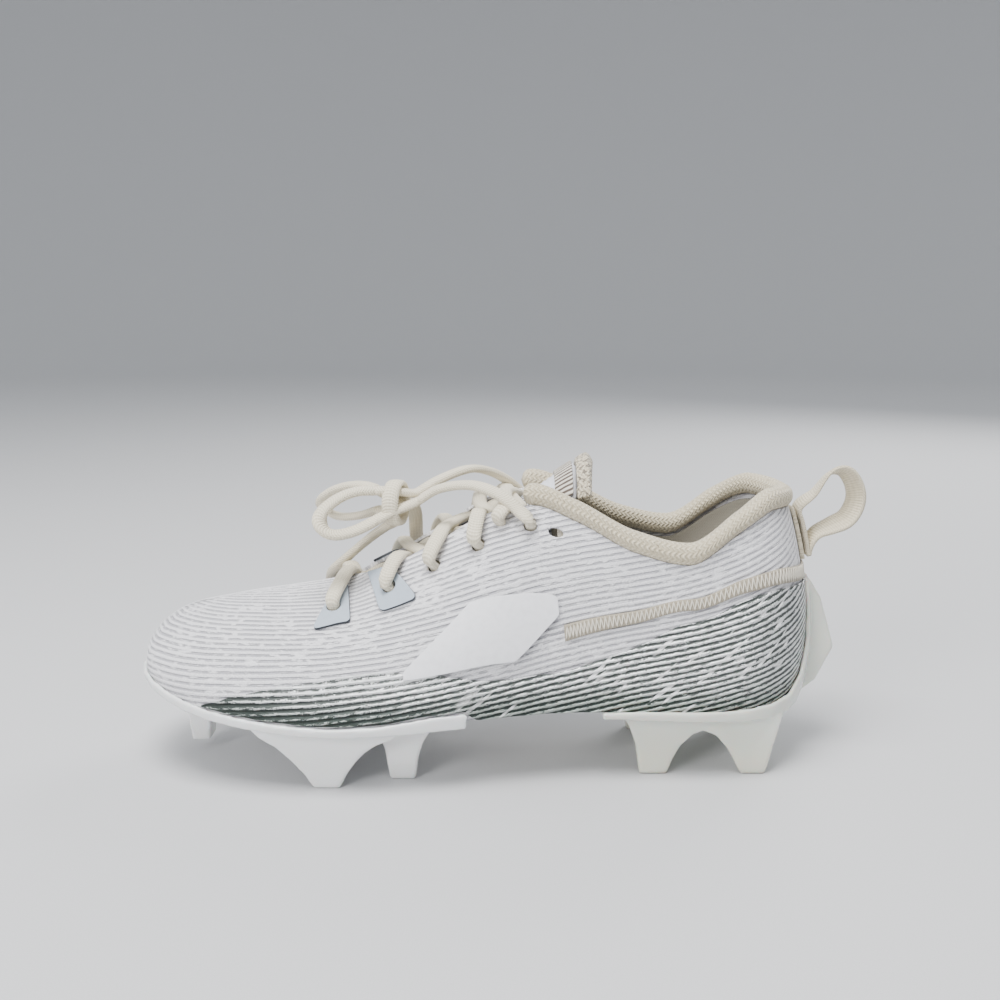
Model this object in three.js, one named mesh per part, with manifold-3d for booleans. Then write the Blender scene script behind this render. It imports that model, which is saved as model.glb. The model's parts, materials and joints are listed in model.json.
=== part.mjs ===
// Low-cut studded field boot, left foot. Millimetres, +Z up, toe towards -X,
// outer (lateral) side towards -Y. Every wall is a patch of one boot surface, set in or out.
import * as THREE from 'three';
import { mergeVertices } from 'three/addons/utils/BufferGeometryUtils.js';
import Module from 'manifold-3d';

const wasm = await Module();
wasm.setup();

// ---- overall sizes ----
const BOOT_LENGTH = 286;      // upper, toe to heel
const BALL_WIDTH = 96;        // feather line across the ball
const COLLAR_HEIGHT = 111;    // heel edge of the knit above the ground
const STUD_HEIGHT = 25.5;     // underside of the plates above the ground

// ---- wall thicknesses and clearances ----
const GAP = 0.3;
const KNIT = 1.8;
const FILM = 0.6;
const TAB = 1.2;
const TAPE = 0.7;
const LINING = 1.2;
const BOARD = 1.8;
const PLATE = 2.4;
const INSOLE = 4;
const TONGUE = 4.5;
const LACE = 3.6;
const ROLL_HALF_WIDE = 3.9;
const ROLL_HALF_HIGH = 4.2;
const EYELET = 6;
const FIN = 6;
const WEBBING = 12;
const WEBBING_THICK = 1.8;

// ---- scale factors from the overall sizes ----
const SX = BOOT_LENGTH / 286;
const SY = BALL_WIDTH / 96;
const SOLE_Z = STUD_HEIGHT + PLATE + GAP;
const SZ = (COLLAR_HEIGHT - SOLE_Z) / (111 - 28.2);

// ---- stations from toe (0) to heel (16), one list for each driving line ----
const FEATHER_X = [-153.5, -149.5, -137, -118, -90, -68, -50, -28, -2, 20, 38, 58, 80, 102, 119, 127, 129];
const HALF_OUT = [0, 17, 32, 43, 50, 52, 51, 48, 43, 39, 37, 36, 36, 34, 25, 11, 0];
const HALF_IN = [0, 16, 28, 36, 41, 43, 42, 38, 32, 29, 28, 29, 31, 31, 24, 11, 0];
const FEATHER_RISE = [13, 11.5, 8, 4, 1, 0, 0, 0.8, 2, 2.4, 2.2, 1.4, 0.4, 0, 0.6, 1.6, 2];
const EDGE_X = [-128, -126, -118, -105, -86, -68, -50, -26, -3, 14, 32, 55, 76, 97, 113, 121.5, 123.5];
const EDGE_Z = [39.5, 40, 41.5, 44, 47, 50.5, 57, 70, 83, 86.1, 80, 68.6, 64, 76.5, 84.2, 83.4, 82.8];
const EDGE_OUT = [0, 0, 0, 0, 0, 0, 12, 17, 20, 23, 29, 35, 37, 33, 23, 10, 0];
const EDGE_IN = [0, 0, 0, 0, 0, 0, 12, 17, 20, 22, 25, 29, 32, 31, 22, 10, 0];
const EDGE_TILT = [0, 0, 0, 0, 2, 8, 30, 36, 42, 52, 68, 80, 84, 80, 74, 72, 72];
const SIDE_SWELL = [0.4, 0.4, 0.37, 0.35, 0.34, 0.34, 0.34, 0.32, 0.26, 0.2, 0.18, 0.16, 0.16, 0.18, 0.2, 0.22, 0.22];
const MID_Y = 2;
const LAST = FEATHER_X.length - 1;
const THROAT = 5;
const COLUMN = 0.5;

// ---- small maths ----
function slopes(list) {
  const out = [];
  for (let i = 0; i < list.length; i += 1) {
    const before = i > 0 ? list[i] - list[i - 1] : list[1] - list[0];
    const after = i < list.length - 1 ? list[i + 1] - list[i] : before;
    out.push(before * after > 0 ? 2 * before * after / (before + after) : 0);
  }
  return out;
}

function track(list, flatEnds) {
  const m = slopes(list);
  if (flatEnds) {
    m[0] = 0;
    m[m.length - 1] = 0;
  }
  return (k) => {
    const i = Math.max(0, Math.min(list.length - 2, Math.floor(k)));
    const s = k - i;
    const a = s * s * (3 - 2 * s);
    return list[i] * (1 - a) + list[i + 1] * a + m[i] * s * (1 - s) * (1 - s) - m[i + 1] * s * s * (1 - s);
  };
}

const featherX = track(FEATHER_X, true);
const halfOut = track(HALF_OUT, false);
const halfIn = track(HALF_IN, false);
const featherRise = track(FEATHER_RISE, true);
const edgeX = track(EDGE_X, true);
const edgeZ = track(EDGE_Z, true);
const edgeOut = track(EDGE_OUT, false);
const edgeIn = track(EDGE_IN, false);
const edgeTilt = track(EDGE_TILT, true);
const sideSwell = track(SIDE_SWELL, true);

const V = (x, y, z) => new THREE.Vector3(x, y, z);

// ---- the boot surface ----
// t runs -1 (heel) .. 0 (toe) .. 1 (heel): negative on the outer side.
// w runs -1 (sole centre line) .. 0 (feather line) .. 1 (top edge or ridge).
function feather(t) {
  const k = Math.min(LAST, Math.abs(t) * LAST);
  const half = t < 0 ? -halfOut(k) : halfIn(k);
  return V(featherX(k) * SX, MID_Y + half * SY, SOLE_Z + featherRise(k));
}

function topEdge(t) {
  const k = Math.min(LAST, Math.abs(t) * LAST);
  const half = k <= THROAT ? 0 : t < 0 ? -edgeOut(k) : edgeIn(k);
  return V(edgeX(k) * SX, MID_Y + half * SY, SOLE_Z + edgeZ(k) * SZ);
}

function outward(t) {
  const step = 0.004;
  const a = feather(Math.max(-1, t - step));
  const b = feather(Math.min(1, t + step));
  if (Math.abs(t) > 1 - step) {
    return V(1, 0, 0);
  }
  return V(-(b.y - a.y), b.x - a.x, 0).normalize();
}

function surface(t, w) {
  const p = feather(t);
  if (w <= 0) {
    return V(p.x, p.y + (MID_Y - p.y) * -w, p.z);
  }
  const k = Math.min(LAST, Math.abs(t) * LAST);
  const e = topEdge(t);
  const out = outward(t);
  const chord = e.distanceTo(p);
  const tilt = edgeTilt(k) * Math.PI / 180;
  const swell = sideSwell(k);
  const lean = out.clone().multiplyScalar(swell).add(V(0, 0, 0.93)).multiplyScalar(chord * 1.1);
  const land = out.clone().multiplyScalar(-Math.cos(tilt)).add(V(0, 0, Math.sin(tilt)));
  land.multiplyScalar(chord * 0.9);
  const a = w * w * (3 - 2 * w);
  const q = p.clone().multiplyScalar(1 - a).add(e.multiplyScalar(a));
  q.add(lean.multiplyScalar(w * (1 - w) * (1 - w)));
  return q.sub(land.multiplyScalar(w * w * (1 - w)));
}

function soleNormal(t) {
  const k = Math.min(LAST, Math.abs(t) * LAST);
  const k0 = Math.max(0.05, k - 0.2);
  const k1 = Math.min(LAST - 0.05, k + 0.2);
  const rise = (featherRise(k1) - featherRise(k0)) / ((featherX(k1) - featherX(k0)) * SX);
  return V(rise, 0, -1).normalize();
}

function rawNormal(t, w) {
  const h = 0.006;
  const ww = Math.max(0.004, Math.min(w, Math.abs(t) * LAST < THROAT + 0.2 ? 0.95 : 0.995));
  const du = surface(Math.min(1, t + h), ww).sub(surface(Math.max(-1, t - h), ww));
  const dw = surface(t, ww + 0.004).sub(surface(t, ww - 0.004));
  return du.cross(dw).normalize().negate();
}

function sideNormal(t, w) {
  const n = rawNormal(t, w);
  if (Math.abs(t) > 0.985 || Math.abs(t) < 0.01) {
    n.add(V(n.x, -n.y, n.z)).normalize();
  }
  if (Math.abs(t) * LAST <= THROAT && w > 0.9) {
    const m = rawNormal(-t, w);
    return n.lerp(n.clone().add(m).normalize(), (w - 0.9) * 10).normalize();
  }
  return n;
}

function away(t, w) {
  if (w < -1e-6) {
    return soleNormal(t);
  }
  const side = sideNormal(t, Math.max(w, 0));
  if (w > 0.001) {
    return side;
  }
  const sole = soleNormal(t);
  return side.clone().add(sole).multiplyScalar(1 / (1 + side.dot(sole)));
}

function atColumn(t, w, d) {
  return surface(t, w).addScaledVector(away(t, w), d);
}

// Between two columns the wall runs straight, so that laid-on layers follow it exactly.
function at(t, w, d) {
  const side = t < 0 ? -1 : 1;
  const place = Math.abs(t) * LAST / COLUMN;
  const low = Math.floor(place + 1e-6);
  const share = place - low;
  const a = atColumn(side * low * COLUMN / LAST, w, d);
  if (share < 1e-5) {
    return a;
  }
  return a.lerp(atColumn(side * Math.min(LAST, (low + 1) * COLUMN) / LAST, w, d), share);
}

// ---- closed solids ----
function solidOf(points, faces) {
  const flat = [];
  for (const p of points) {
    flat.push(p.x, p.y, p.z);
  }
  const g = new THREE.BufferGeometry();
  g.setAttribute('position', new THREE.Float32BufferAttribute(flat, 3));
  g.setIndex(faces.flat());
  return tidy(g);
}

function tidy(geometry) {
  const bare = geometry.clone();
  bare.deleteAttribute('normal');
  bare.deleteAttribute('uv');
  const g = mergeVertices(bare, 1e-3);
  const pos = g.getAttribute('position');
  const old = g.getIndex().array;
  const keep = [];
  let volume = 0;
  for (let i = 0; i < old.length; i += 3) {
    const [a, b, c] = [old[i], old[i + 1], old[i + 2]];
    if (a === b || b === c || c === a) {
      continue;
    }
    keep.push(a, b, c);
    const pa = V(0, 0, 0).fromBufferAttribute(pos, a);
    const pb = V(0, 0, 0).fromBufferAttribute(pos, b);
    const pc = V(0, 0, 0).fromBufferAttribute(pos, c);
    volume += pa.dot(pb.cross(pc)) / 6;
  }
  if (volume < 0) {
    for (let i = 0; i < keep.length; i += 3) {
      [keep[i + 1], keep[i + 2]] = [keep[i + 2], keep[i + 1]];
    }
  }
  g.setIndex(keep);
  return g;
}

function toManifold(geometry) {
  const g = tidy(geometry);
  const vertProperties = new Float32Array(g.getAttribute('position').array);
  const triVerts = new Uint32Array(g.getIndex().array);
  return new wasm.Manifold(new wasm.Mesh({ numProp: 3, vertProperties, triVerts }));
}

function fromManifold(solid) {
  const mesh = solid.getMesh();
  const g = new THREE.BufferGeometry();
  g.setAttribute('position', new THREE.BufferAttribute(new Float32Array(mesh.vertProperties), 3));
  g.setIndex(Array.from(mesh.triVerts));
  return g;
}

function join(first, ...rest) {
  let solid = toManifold(first);
  for (const g of rest) {
    solid = solid.add(toManifold(g));
  }
  return fromManifold(solid);
}

function cut(first, ...rest) {
  let solid = toManifold(first);
  for (const g of rest) {
    solid = solid.subtract(toManifold(g));
  }
  return fromManifold(solid);
}

// The main body of a cut sheet, without crumbs left beside a hole.
function largest(geometry) {
  const parts = toManifold(geometry).decompose();
  parts.sort((a, b) => b.volume() - a.volume());
  return fromManifold(parts[0]);
}

const asFunction = (v) => (typeof v === 'function' ? v : () => v);

// A wall between offsets d0 and d1 over columns ts, from w0(t) to w1(t).
function wall({ ts, w0, w1, nw, d0, d1, ring = false, zipTop = false, zipSole = false }) {
  const low = asFunction(w0);
  const high = asFunction(w1);
  const inner = asFunction(d0);
  const outer = asFunction(d1);
  const points = [];
  for (const t of ts) {
    for (let j = 0; j <= nw; j += 1) {
      const w = low(t) + (high(t) - low(t)) * j / nw;
      points.push(at(t, w, inner(t, w)), at(t, w, outer(t, w)));
    }
  }
  const id = (i, j, side) => (i * (nw + 1) + j) * 2 + side;
  const faces = [];
  const quad = (a, b, c, d) => faces.push([a, b, c], [a, c, d]);
  const shut = (i, w) => {
    const k = Math.max(Math.abs(ts[i]), Math.abs(ts[i + 1])) * LAST;
    return (w > 0.999 && zipTop && k <= THROAT + 1e-6) || (w < -0.999 && zipSole);
  };
  for (let i = 0; i < ts.length - 1; i += 1) {
    for (let j = 0; j < nw; j += 1) {
      quad(id(i, j, 1), id(i + 1, j, 1), id(i + 1, j + 1, 1), id(i, j + 1, 1));
      quad(id(i, j, 0), id(i, j + 1, 0), id(i + 1, j + 1, 0), id(i + 1, j, 0));
    }
    if (!shut(i, Math.min(low(ts[i]), low(ts[i + 1])))) {
      quad(id(i, 0, 0), id(i + 1, 0, 0), id(i + 1, 0, 1), id(i, 0, 1));
    }
    if (!shut(i, Math.max(high(ts[i]), high(ts[i + 1])))) {
      quad(id(i, nw, 0), id(i, nw, 1), id(i + 1, nw, 1), id(i + 1, nw, 0));
    }
  }
  if (!ring) {
    const n = ts.length - 1;
    for (let j = 0; j < nw; j += 1) {
      quad(id(0, j, 0), id(0, j, 1), id(0, j + 1, 1), id(0, j + 1, 0));
      quad(id(n, j, 0), id(n, j + 1, 0), id(n, j + 1, 1), id(n, j, 1));
    }
  }
  return solidOf(points, faces);
}

// Columns from station ka to kb on one side (sign), with every shared column between.
function columns(ka, kb, sign) {
  const out = [ka];
  const step = kb > ka ? COLUMN : -COLUMN;
  let k = (kb > ka ? Math.floor(ka / COLUMN + 1e-6) : Math.ceil(ka / COLUMN - 1e-6)) * COLUMN + step;
  while ((kb - k) * step > 1e-6) {
    out.push(k);
    k += step;
  }
  out.push(kb);
  return out.map((v) => sign * v / LAST);
}

// Columns over both sides through the toe, out to station k.
function overToe(k) {
  return [...columns(k, 0, -1), ...columns(0, k, 1).slice(1)];
}

// Columns over both sides through the heel, starting at station k.
function roundHeel(k) {
  return [...columns(k, LAST, -1), ...columns(LAST, k, 1).slice(1)];
}

// A tube of a round section along hand-placed points.
function tube(list, radius, steps, sides = 8) {
  const curve = new THREE.CatmullRomCurve3(list.map((p) => V(...p)), false, 'centripetal');
  const ring = new THREE.Shape();
  for (let i = 0; i < sides; i += 1) {
    const a = 2 * Math.PI * (i + 0.5) / sides;
    if (i === 0) {
      ring.moveTo(radius * Math.cos(a), radius * Math.sin(a));
    } else {
      ring.lineTo(radius * Math.cos(a), radius * Math.sin(a));
    }
  }
  const opts = { steps, extrudePath: curve, bevelEnabled: false, curveSegments: 1 };
  return tidy(new THREE.ExtrudeGeometry(ring, opts));
}

// A ring of cross-section loops skinned into one closed body.
function skin(loops, ring = false) {
  const n = loops[0].length;
  const points = loops.flat();
  const faces = [];
  const rows = ring ? loops.length : loops.length - 1;
  for (let i = 0; i < rows; i += 1) {
    const r = (i + 1) % loops.length;
    for (let j = 0; j < n; j += 1) {
      const s = (j + 1) % n;
      faces.push([i * n + j, r * n + j, r * n + s], [i * n + j, r * n + s, i * n + s]);
    }
  }
  if (!ring) {
    for (let j = 1; j < n - 1; j += 1) {
      faces.push([0, j, j + 1]);
      const e = (loops.length - 1) * n;
      faces.push([e, e + j + 1, e + j]);
    }
  }
  return solidOf(points, faces);
}

const group = new THREE.Group();
group.name = 'studded_field_boot';

function add(name, geometry, color, roughness, metalness) {
  const material = new THREE.MeshStandardMaterial({ color, roughness, metalness });
  const mesh = new THREE.Mesh(geometry, material);
  mesh.name = name;
  group.add(mesh);
}

// ---- seam and band lines, as w against station ----
const SEAM_K = 9;
const seamLine = track([0.36, 0.36, 0.36, 0.36, 0.36, 0.36, 0.36, 0.36, 0.36, 0.37, 0.455, 0.605, 0.735, 0.705, 0.66, 0.64, 0.635], true);
const foilTop = track([0.1, 0.1, 0.1, 0.115, 0.232, 0.285, 0.333, 0.27, 0.19, 0.2, 0.27, 0.43, 0.615, 0.63, 0.6, 0.59, 0.585], true);
const foreLip = track([0.06, 0.055, 0.05, 0.04, 0.03, 0.025, 0.03, 0.055, 0.05], true);
const heelLip = track([0.01, 0.03, 0.04, 0.05, 0.08, 0.3, 0.6], true);
const heelFoot = (k) => (k > 10 ? 0.05 : 0);
const station = (t) => Math.abs(t) * LAST;

// ---- eyelets: station and height on the surface, both sides ----
const EYELETS = [[4.95, 0.69], [6.18, 0.81], [6.9, 0.845], [7.65, 0.84], [8.12, 0.925], [8.86, 0.89]];
const SPARE_EYELET = [9.46, 0.88];

function eyeletCutter(t, w, radius) {
  const c = at(t, w, 0);
  const n = away(t, w);
  const drill = new THREE.CylinderGeometry(radius, radius, 16, 10);
  const turn = new THREE.Quaternion().setFromUnitVectors(V(0, 1, 0), n);
  drill.applyQuaternion(turn);
  drill.translate(c.x, c.y, c.z);
  return drill;
}

function allEyeletCutters(radius) {
  const out = [];
  for (const [k, w] of EYELETS) {
    out.push(eyeletCutter(-k / LAST, w, radius), eyeletCutter(k / LAST, w, radius));
  }
  return out;
}

// ---- knit upper ----
function knitVamp() {
  const ts = overToe(SEAM_K - 0.06);
  const g = wall({ ts, w0: 0, w1: 1, nw: 12, d0: -KNIT, d1: 0, zipTop: true });
  return largest(cut(g, ...allEyeletCutters(EYELET / 2), lacing(LACE / 2 + 0.25)));
}

function knitHeel() {
  const ts = roundHeel(SEAM_K);
  const w1 = (t) => seamLine(station(t)) - 0.004;
  return wall({ ts, w0: 0, w1, nw: 8, d0: -KNIT, d1: 0 });
}

function knitQuarter() {
  const ts = roundHeel(SEAM_K + 0.04);
  const w0 = (t) => seamLine(station(t)) + 0.004;
  const g = wall({ ts, w0, w1: 1, nw: 5, d0: -KNIT, d1: 0 });
  const [k, w] = SPARE_EYELET;
  return cut(g, eyeletCutter(-k / LAST, w, EYELET / 2), eyeletCutter(k / LAST, w, EYELET / 2));
}

// ---- films, tapes and tabs laid on the knit ----
function foilBand(sign) {
  const ts = columns(2.6, 15.9, sign);
  const bare = (k) => k > 7.6 && k < 10.15;
  const w0 = (t) => (bare(station(t)) ? 0.005 : Math.max(foreLip(Math.min(8, station(t))), heelFoot(station(t))) + 0.02);
  const w1 = (t) => Math.max(foilTop(station(t)), 0.11);
  return wall({ ts, w0, w1, nw: 6, d0: GAP, d1: GAP + FILM });
}

function seamTape() {
  const ts = roundHeel(SEAM_K + 0.4);
  const w0 = (t) => seamLine(station(t)) - 0.035;
  const w1 = (t) => seamLine(station(t)) + 0.035;
  return wall({ ts, w0, w1, nw: 1, d0: GAP, d1: GAP + TAPE });
}

const PANEL_LOW = 0.27;
const PANEL_HIGH = 0.56;

function sidePanel(sign) {
  const ts = columns(6.5, 9.3, sign);
  const low = (t) => PANEL_LOW + 0.2 * Math.max(0, station(t) - 8.3);
  const high = (t) => PANEL_HIGH - 0.24 * Math.max(0, 7.5 - station(t));
  const base = 2 * GAP + FILM;
  return wall({ ts, w0: low, w1: high, nw: 5, d0: base, d1: base + FILM });
}

function laceTab(ka, kb, sign) {
  const ts = columns(ka, kb, sign);
  const front = ka < 5;
  const w0 = (t) => (front ? 0.55 + 0.06 * (station(t) - ka) : 0.67);
  const g = wall({ ts, w0, w1: front ? 0.88 : 0.93, nw: 4, d0: GAP, d1: GAP + TAB });
  return cut(g, ...allEyeletCutters(EYELET / 2));
}

// ---- collar ----
function collarRoll() {
  const ts = roundHeel(SEAM_K - 0.25);
  const loops = ts.map((t) => {
    const e = surface(t, 1);
    const out = outward(t);
    const c = e.clone().addScaledVector(V(0, 0, 1), ROLL_HALF_HIGH + GAP);
    c.addScaledVector(out, -ROLL_HALF_WIDE + 1.2);
    const loop = [];
    for (let i = 0; i < 8; i += 1) {
      const a = 2 * Math.PI * (i + 0.5) / 8;
      const p = c.clone().addScaledVector(out, ROLL_HALF_WIDE * Math.cos(a) * 1.05);
      loop.push(p.add(V(0, 0, ROLL_HALF_HIGH * Math.sin(a))));
    }
    return loop;
  });
  return skin(loops);
}

function collarLining() {
  const ts = roundHeel(SEAM_K + 0.5);
  return wall({ ts, w0: 0.16, w1: 0.965, nw: 10, d0: -KNIT - GAP - LINING, d1: -KNIT - GAP });
}

// ---- inside of the boot ----
// A sheet lying on the sole: inset from the feather line, raised by lift.
function footSheet(inset, lift, thick) {
  const rim = overToe(LAST).slice(0, -1).map((t) => feather(t).addScaledVector(outward(t), -inset));
  const lower = rim.map((p) => V(p.x, p.y, p.z + lift));
  const upper = rim.map((p) => V(p.x, p.y, p.z + lift + thick));
  return tray(lower, upper);
}

// Two matching rims joined by a side wall and filled by fans from mid points.
function tray(lower, upper) {
  const n = lower.length;
  const points = [...lower, ...upper];
  const faces = [];
  for (let i = 0; i < n; i += 1) {
    const j = (i + 1) % n;
    faces.push([i, j, n + j], [i, n + j, n + i]);
  }
  for (let i = 0; i < n / 2; i += 1) {
    const [a, b, c, d] = [i, i + 1, n - i - 1, (n - i) % n];
    if (b !== c) {
      faces.push([a, c, b], [n + a, n + b, n + c]);
    }
    if (d !== a) {
      faces.push([a, d, c], [n + a, n + c, n + d]);
    }
  }
  return solidOf(points, faces);
}

// ---- sole plates and studs ----
function studBlade(outline, y, thick, foot) {
  const shape = new THREE.Shape(outline.map(([x, z]) => new THREE.Vector2(x * SX, z)));
  const g = new THREE.ExtrudeGeometry(shape, { depth: thick, steps: 1, bevelEnabled: false });
  g.rotateX(Math.PI / 2);
  g.translate(0, thick / 2, 0);
  const pos = g.getAttribute('position');
  for (let i = 0; i < pos.count; i += 1) {
    const z = pos.getZ(i);
    const share = foot + (1 - foot) * Math.max(0, Math.min(1, z / STUD_HEIGHT));
    pos.setY(i, MID_Y + (y - MID_Y) * SY + pos.getY(i) * share);
  }
  return g;
}

function forefootPlate() {
  const ts = overToe(7.55);
  const lip = (t) => Math.max(0.02, foreLip(Math.min(8, station(t))));
  const outer = (t, w) => GAP + PLATE * (w > 0.03 ? 0.75 : 1);
  const sole = wall({ ts, w0: -1, w1: 0, nw: 3, d0: GAP, d1: GAP + PLATE, zipSole: true });
  const edge = wall({ ts, w0: 0, w1: lip, nw: 1, d0: GAP, d1: outer });
  const top = SOLE_Z - GAP - 1;
  const toe = [[-141, top + 8.2], [-139, 27], [-137.5, 18], [-136.5, 5], [-128.5, 5], [-127, 17], [-124, 26], [-120, top + 4.2]];
  const bladeOut = [
    [-104, top + 1.9], [-98.5, 22.5], [-91.5, 17.8], [-85, 11.8], [-80, 5.5], [-76.5, 0], [-65.5, 0],
    [-62.5, 6], [-59, 11.2], [-55, 15.4], [-50.5, 18.6], [-44.5, 21.2], [-36, top],
  ];
  const rearOut = [[-54, top], [-50.5, 21], [-48, 14], [-46, 0], [-35, 0], [-34, 9], [-31.8, 16.5], [-28.5, 22], [-23, top]];
  const frontIn = [[-110, top + 2.6], [-105.5, 20], [-103, 11], [-102, 0], [-93, 0], [-91.5, 10], [-88.5, 19.5], [-84, top + 0.6]];
  const bladeIn = [[-86, top + 0.7], [-79, 20], [-74.5, 12], [-70.5, 0], [-59, 0], [-55.5, 10], [-50.5, 17.5], [-42, top]];
  const rearIn = [[-46, top], [-42, 20], [-39.8, 11], [-38.5, 0], [-28.5, 0], [-27, 11], [-24.5, 19.5], [-20, top]];
  return join(
    sole, edge,
    studBlade(toe, 2, 16, 0.6),
    studBlade(bladeOut, -39, 9, 0.6),
    studBlade(rearOut, -30, 10, 0.6),
    studBlade(frontIn, 27, 10, 0.6),
    studBlade(bladeIn, 34, 9, 0.6),
    studBlade(rearIn, 28, 10, 0.6),
  );
}

function heelFin() {
  const inner = [0.55, 0.42, 0.3, 0.18, 0.05].map((w) => at(1, w, 2 * GAP + FILM + 1));
  const root = inner.map((p) => [p.x, p.z]);
  const [crest, foot] = [root[0], root[root.length - 1]];
  const back = [
    [foot[0] - 4.5, foot[1] - 8], [foot[0] - 2.5, foot[1] - 9.5], [foot[0] + 7, foot[1] - 2],
    [foot[0] + 14.5, foot[1] + 13.5],
  ];
  const top = [[crest[0] + 6.5, crest[1] - 7], [crest[0] + 1.5, crest[1] + 1]];
  const shape = new THREE.Shape([...root, ...back, ...top].map(([x, z]) => new THREE.Vector2(x, z)));
  const g = new THREE.ExtrudeGeometry(shape, { depth: FIN, steps: 1, bevelEnabled: false });
  g.rotateX(Math.PI / 2);
  g.translate(0, FIN / 2 + MID_Y, 0);
  return g;
}

function heelPlate() {
  const ts = roundHeel(10.2);
  const lip = (t) => heelLip(Math.max(0, (station(t) - 10.2) * 6 / (LAST - 10.2)));
  const inner = (t, w) => (w > 0.001 ? 2 * GAP + FILM : GAP);
  const outer = (t, w) => (w > 0.001 ? 2 * GAP + FILM + 2 : GAP + PLATE);
  const sole = wall({ ts, w0: -1, w1: 0, nw: 3, d0: GAP, d1: GAP + PLATE, zipSole: true });
  const edge = wall({ ts, w0: 0, w1: lip, nw: 8, d0: inner, d1: outer });
  const top = SOLE_Z - GAP - 1;
  const web = [
    [49, top + 1], [53.9, 21.8], [56.8, 13.6], [58.8, 0], [70.5, 0], [72.6, 6.5], [75.8, 12.5], [80.5, 17.8],
    [85.1, 19.6], [90.6, 17.4], [95.4, 11.6], [98.8, 5.5], [101.5, 0], [112, 0], [114, 8], [115.6, 16],
    [118.5, top],
  ];
  return join(
    sole, edge, heelFin(), studBlade(web, -25, 9, 0.65), studBlade(web, 24, 9, 0.65),
  );
}

// ---- tongue ----
const TONGUE_X = [-76, -63, -50, -26, -3, 14, 27, 38];
const TONGUE_Z = [64, 69, 78.3, 92, 105.5, 117, 126, 133];
const TONGUE_HALF = [13, 15, 18, 20, 20, 17.5, 16, 17];
const TONGUE_DROP = [0.024, 0.024, 0.024, 0.026, 0.03, 0.036, 0.044, 0.05];
const tongueX = track(TONGUE_X, false);
const tongueZ = track(TONGUE_Z, false);
const tongueHalf = track(TONGUE_HALF, false);
const tongueDrop = track(TONGUE_DROP, false);

// A place given in the boot's own millimetres, carried along when the boot is resized.
function place(x, y, z) {
  return V(x * SX, MID_Y + (y - MID_Y) * SY, SOLE_Z + (z - 28.2) * SZ);
}

function tonguePoint(u, v, d) {
  const y = v * tongueHalf(u) * SY;
  const a = place(tongueX(u), MID_Y, tongueZ(u));
  const b = place(tongueX(u + 0.02), MID_Y, tongueZ(u + 0.02));
  const along = b.sub(place(tongueX(u - 0.02), MID_Y, tongueZ(u - 0.02))).normalize();
  const n = V(-along.z, 2 * tongueDrop(u) * y, along.x).normalize();
  return a.add(V(0, y, -tongueDrop(u) * y * y)).addScaledVector(n, d);
}

// A closed slab over u rows and v columns between two offsets.
function slab(us, vs, low, high) {
  const points = [];
  for (const u of us) {
    for (const v of vs) {
      points.push(tonguePoint(u, v, low(u, v)), tonguePoint(u, v, high(u, v)));
    }
  }
  const nv = vs.length;
  const id = (i, j, side) => (i * nv + j) * 2 + side;
  const faces = [];
  const quad = (a, b, c, d) => faces.push([a, b, c], [a, c, d]);
  for (let i = 0; i < us.length - 1; i += 1) {
    for (let j = 0; j < nv - 1; j += 1) {
      quad(id(i, j, 1), id(i + 1, j, 1), id(i + 1, j + 1, 1), id(i, j + 1, 1));
      quad(id(i, j, 0), id(i, j + 1, 0), id(i + 1, j + 1, 0), id(i + 1, j, 0));
    }
    quad(id(i, 0, 0), id(i + 1, 0, 0), id(i + 1, 0, 1), id(i, 0, 1));
    quad(id(i, nv - 1, 0), id(i, nv - 1, 1), id(i + 1, nv - 1, 1), id(i + 1, nv - 1, 0));
  }
  const n = us.length - 1;
  for (let j = 0; j < nv - 1; j += 1) {
    quad(id(0, j, 0), id(0, j, 1), id(0, j + 1, 1), id(0, j + 1, 0));
    quad(id(n, j, 0), id(n, j + 1, 0), id(n, j + 1, 1), id(n, j, 1));
  }
  return solidOf(points, faces);
}

function spread(a, b, n) {
  return Array.from({ length: n + 1 }, (_, i) => a + (b - a) * i / n);
}

function tongueBody() {
  return slab(spread(0.05, 6.38, 16), spread(-1, 1, 8), () => -TONGUE, () => 0);
}

function tongueBand() {
  return slab(spread(5.7, 6.34, 2), spread(-0.96, 0.96, 8), () => GAP, () => GAP + 1);
}

function tongueBinding() {
  const bulge = (u) => 1.6 * Math.sqrt(Math.max(0, 1 - ((u - 6.7) / 0.3) ** 2));
  return slab(spread(6.43, 6.97, 5), spread(-1.04, 1.04, 8), (u) => -TONGUE + 0.8 - bulge(u), (u) => bulge(u) - 0.4);
}

// ---- lace ----
const OVER = TAB + GAP + LACE / 2 + 0.7;
const UNDER = KNIT + LACE / 2 + 0.7;

function eyeletAt(i, sign, d) {
  const [k, w] = EYELETS[i];
  return at(sign * k / LAST, w, d);
}

function flapEdge(k, sign, d) {
  return at(sign * k / LAST, 0.985, d);
}

function tongueTop(x, y, d) {
  let u = 0;
  while (u < 6.9 && tongueX(u) * SX < x) {
    u += 0.02;
  }
  return tonguePoint(u, (y - MID_Y) / (tongueHalf(u) * SY), d);
}

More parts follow.
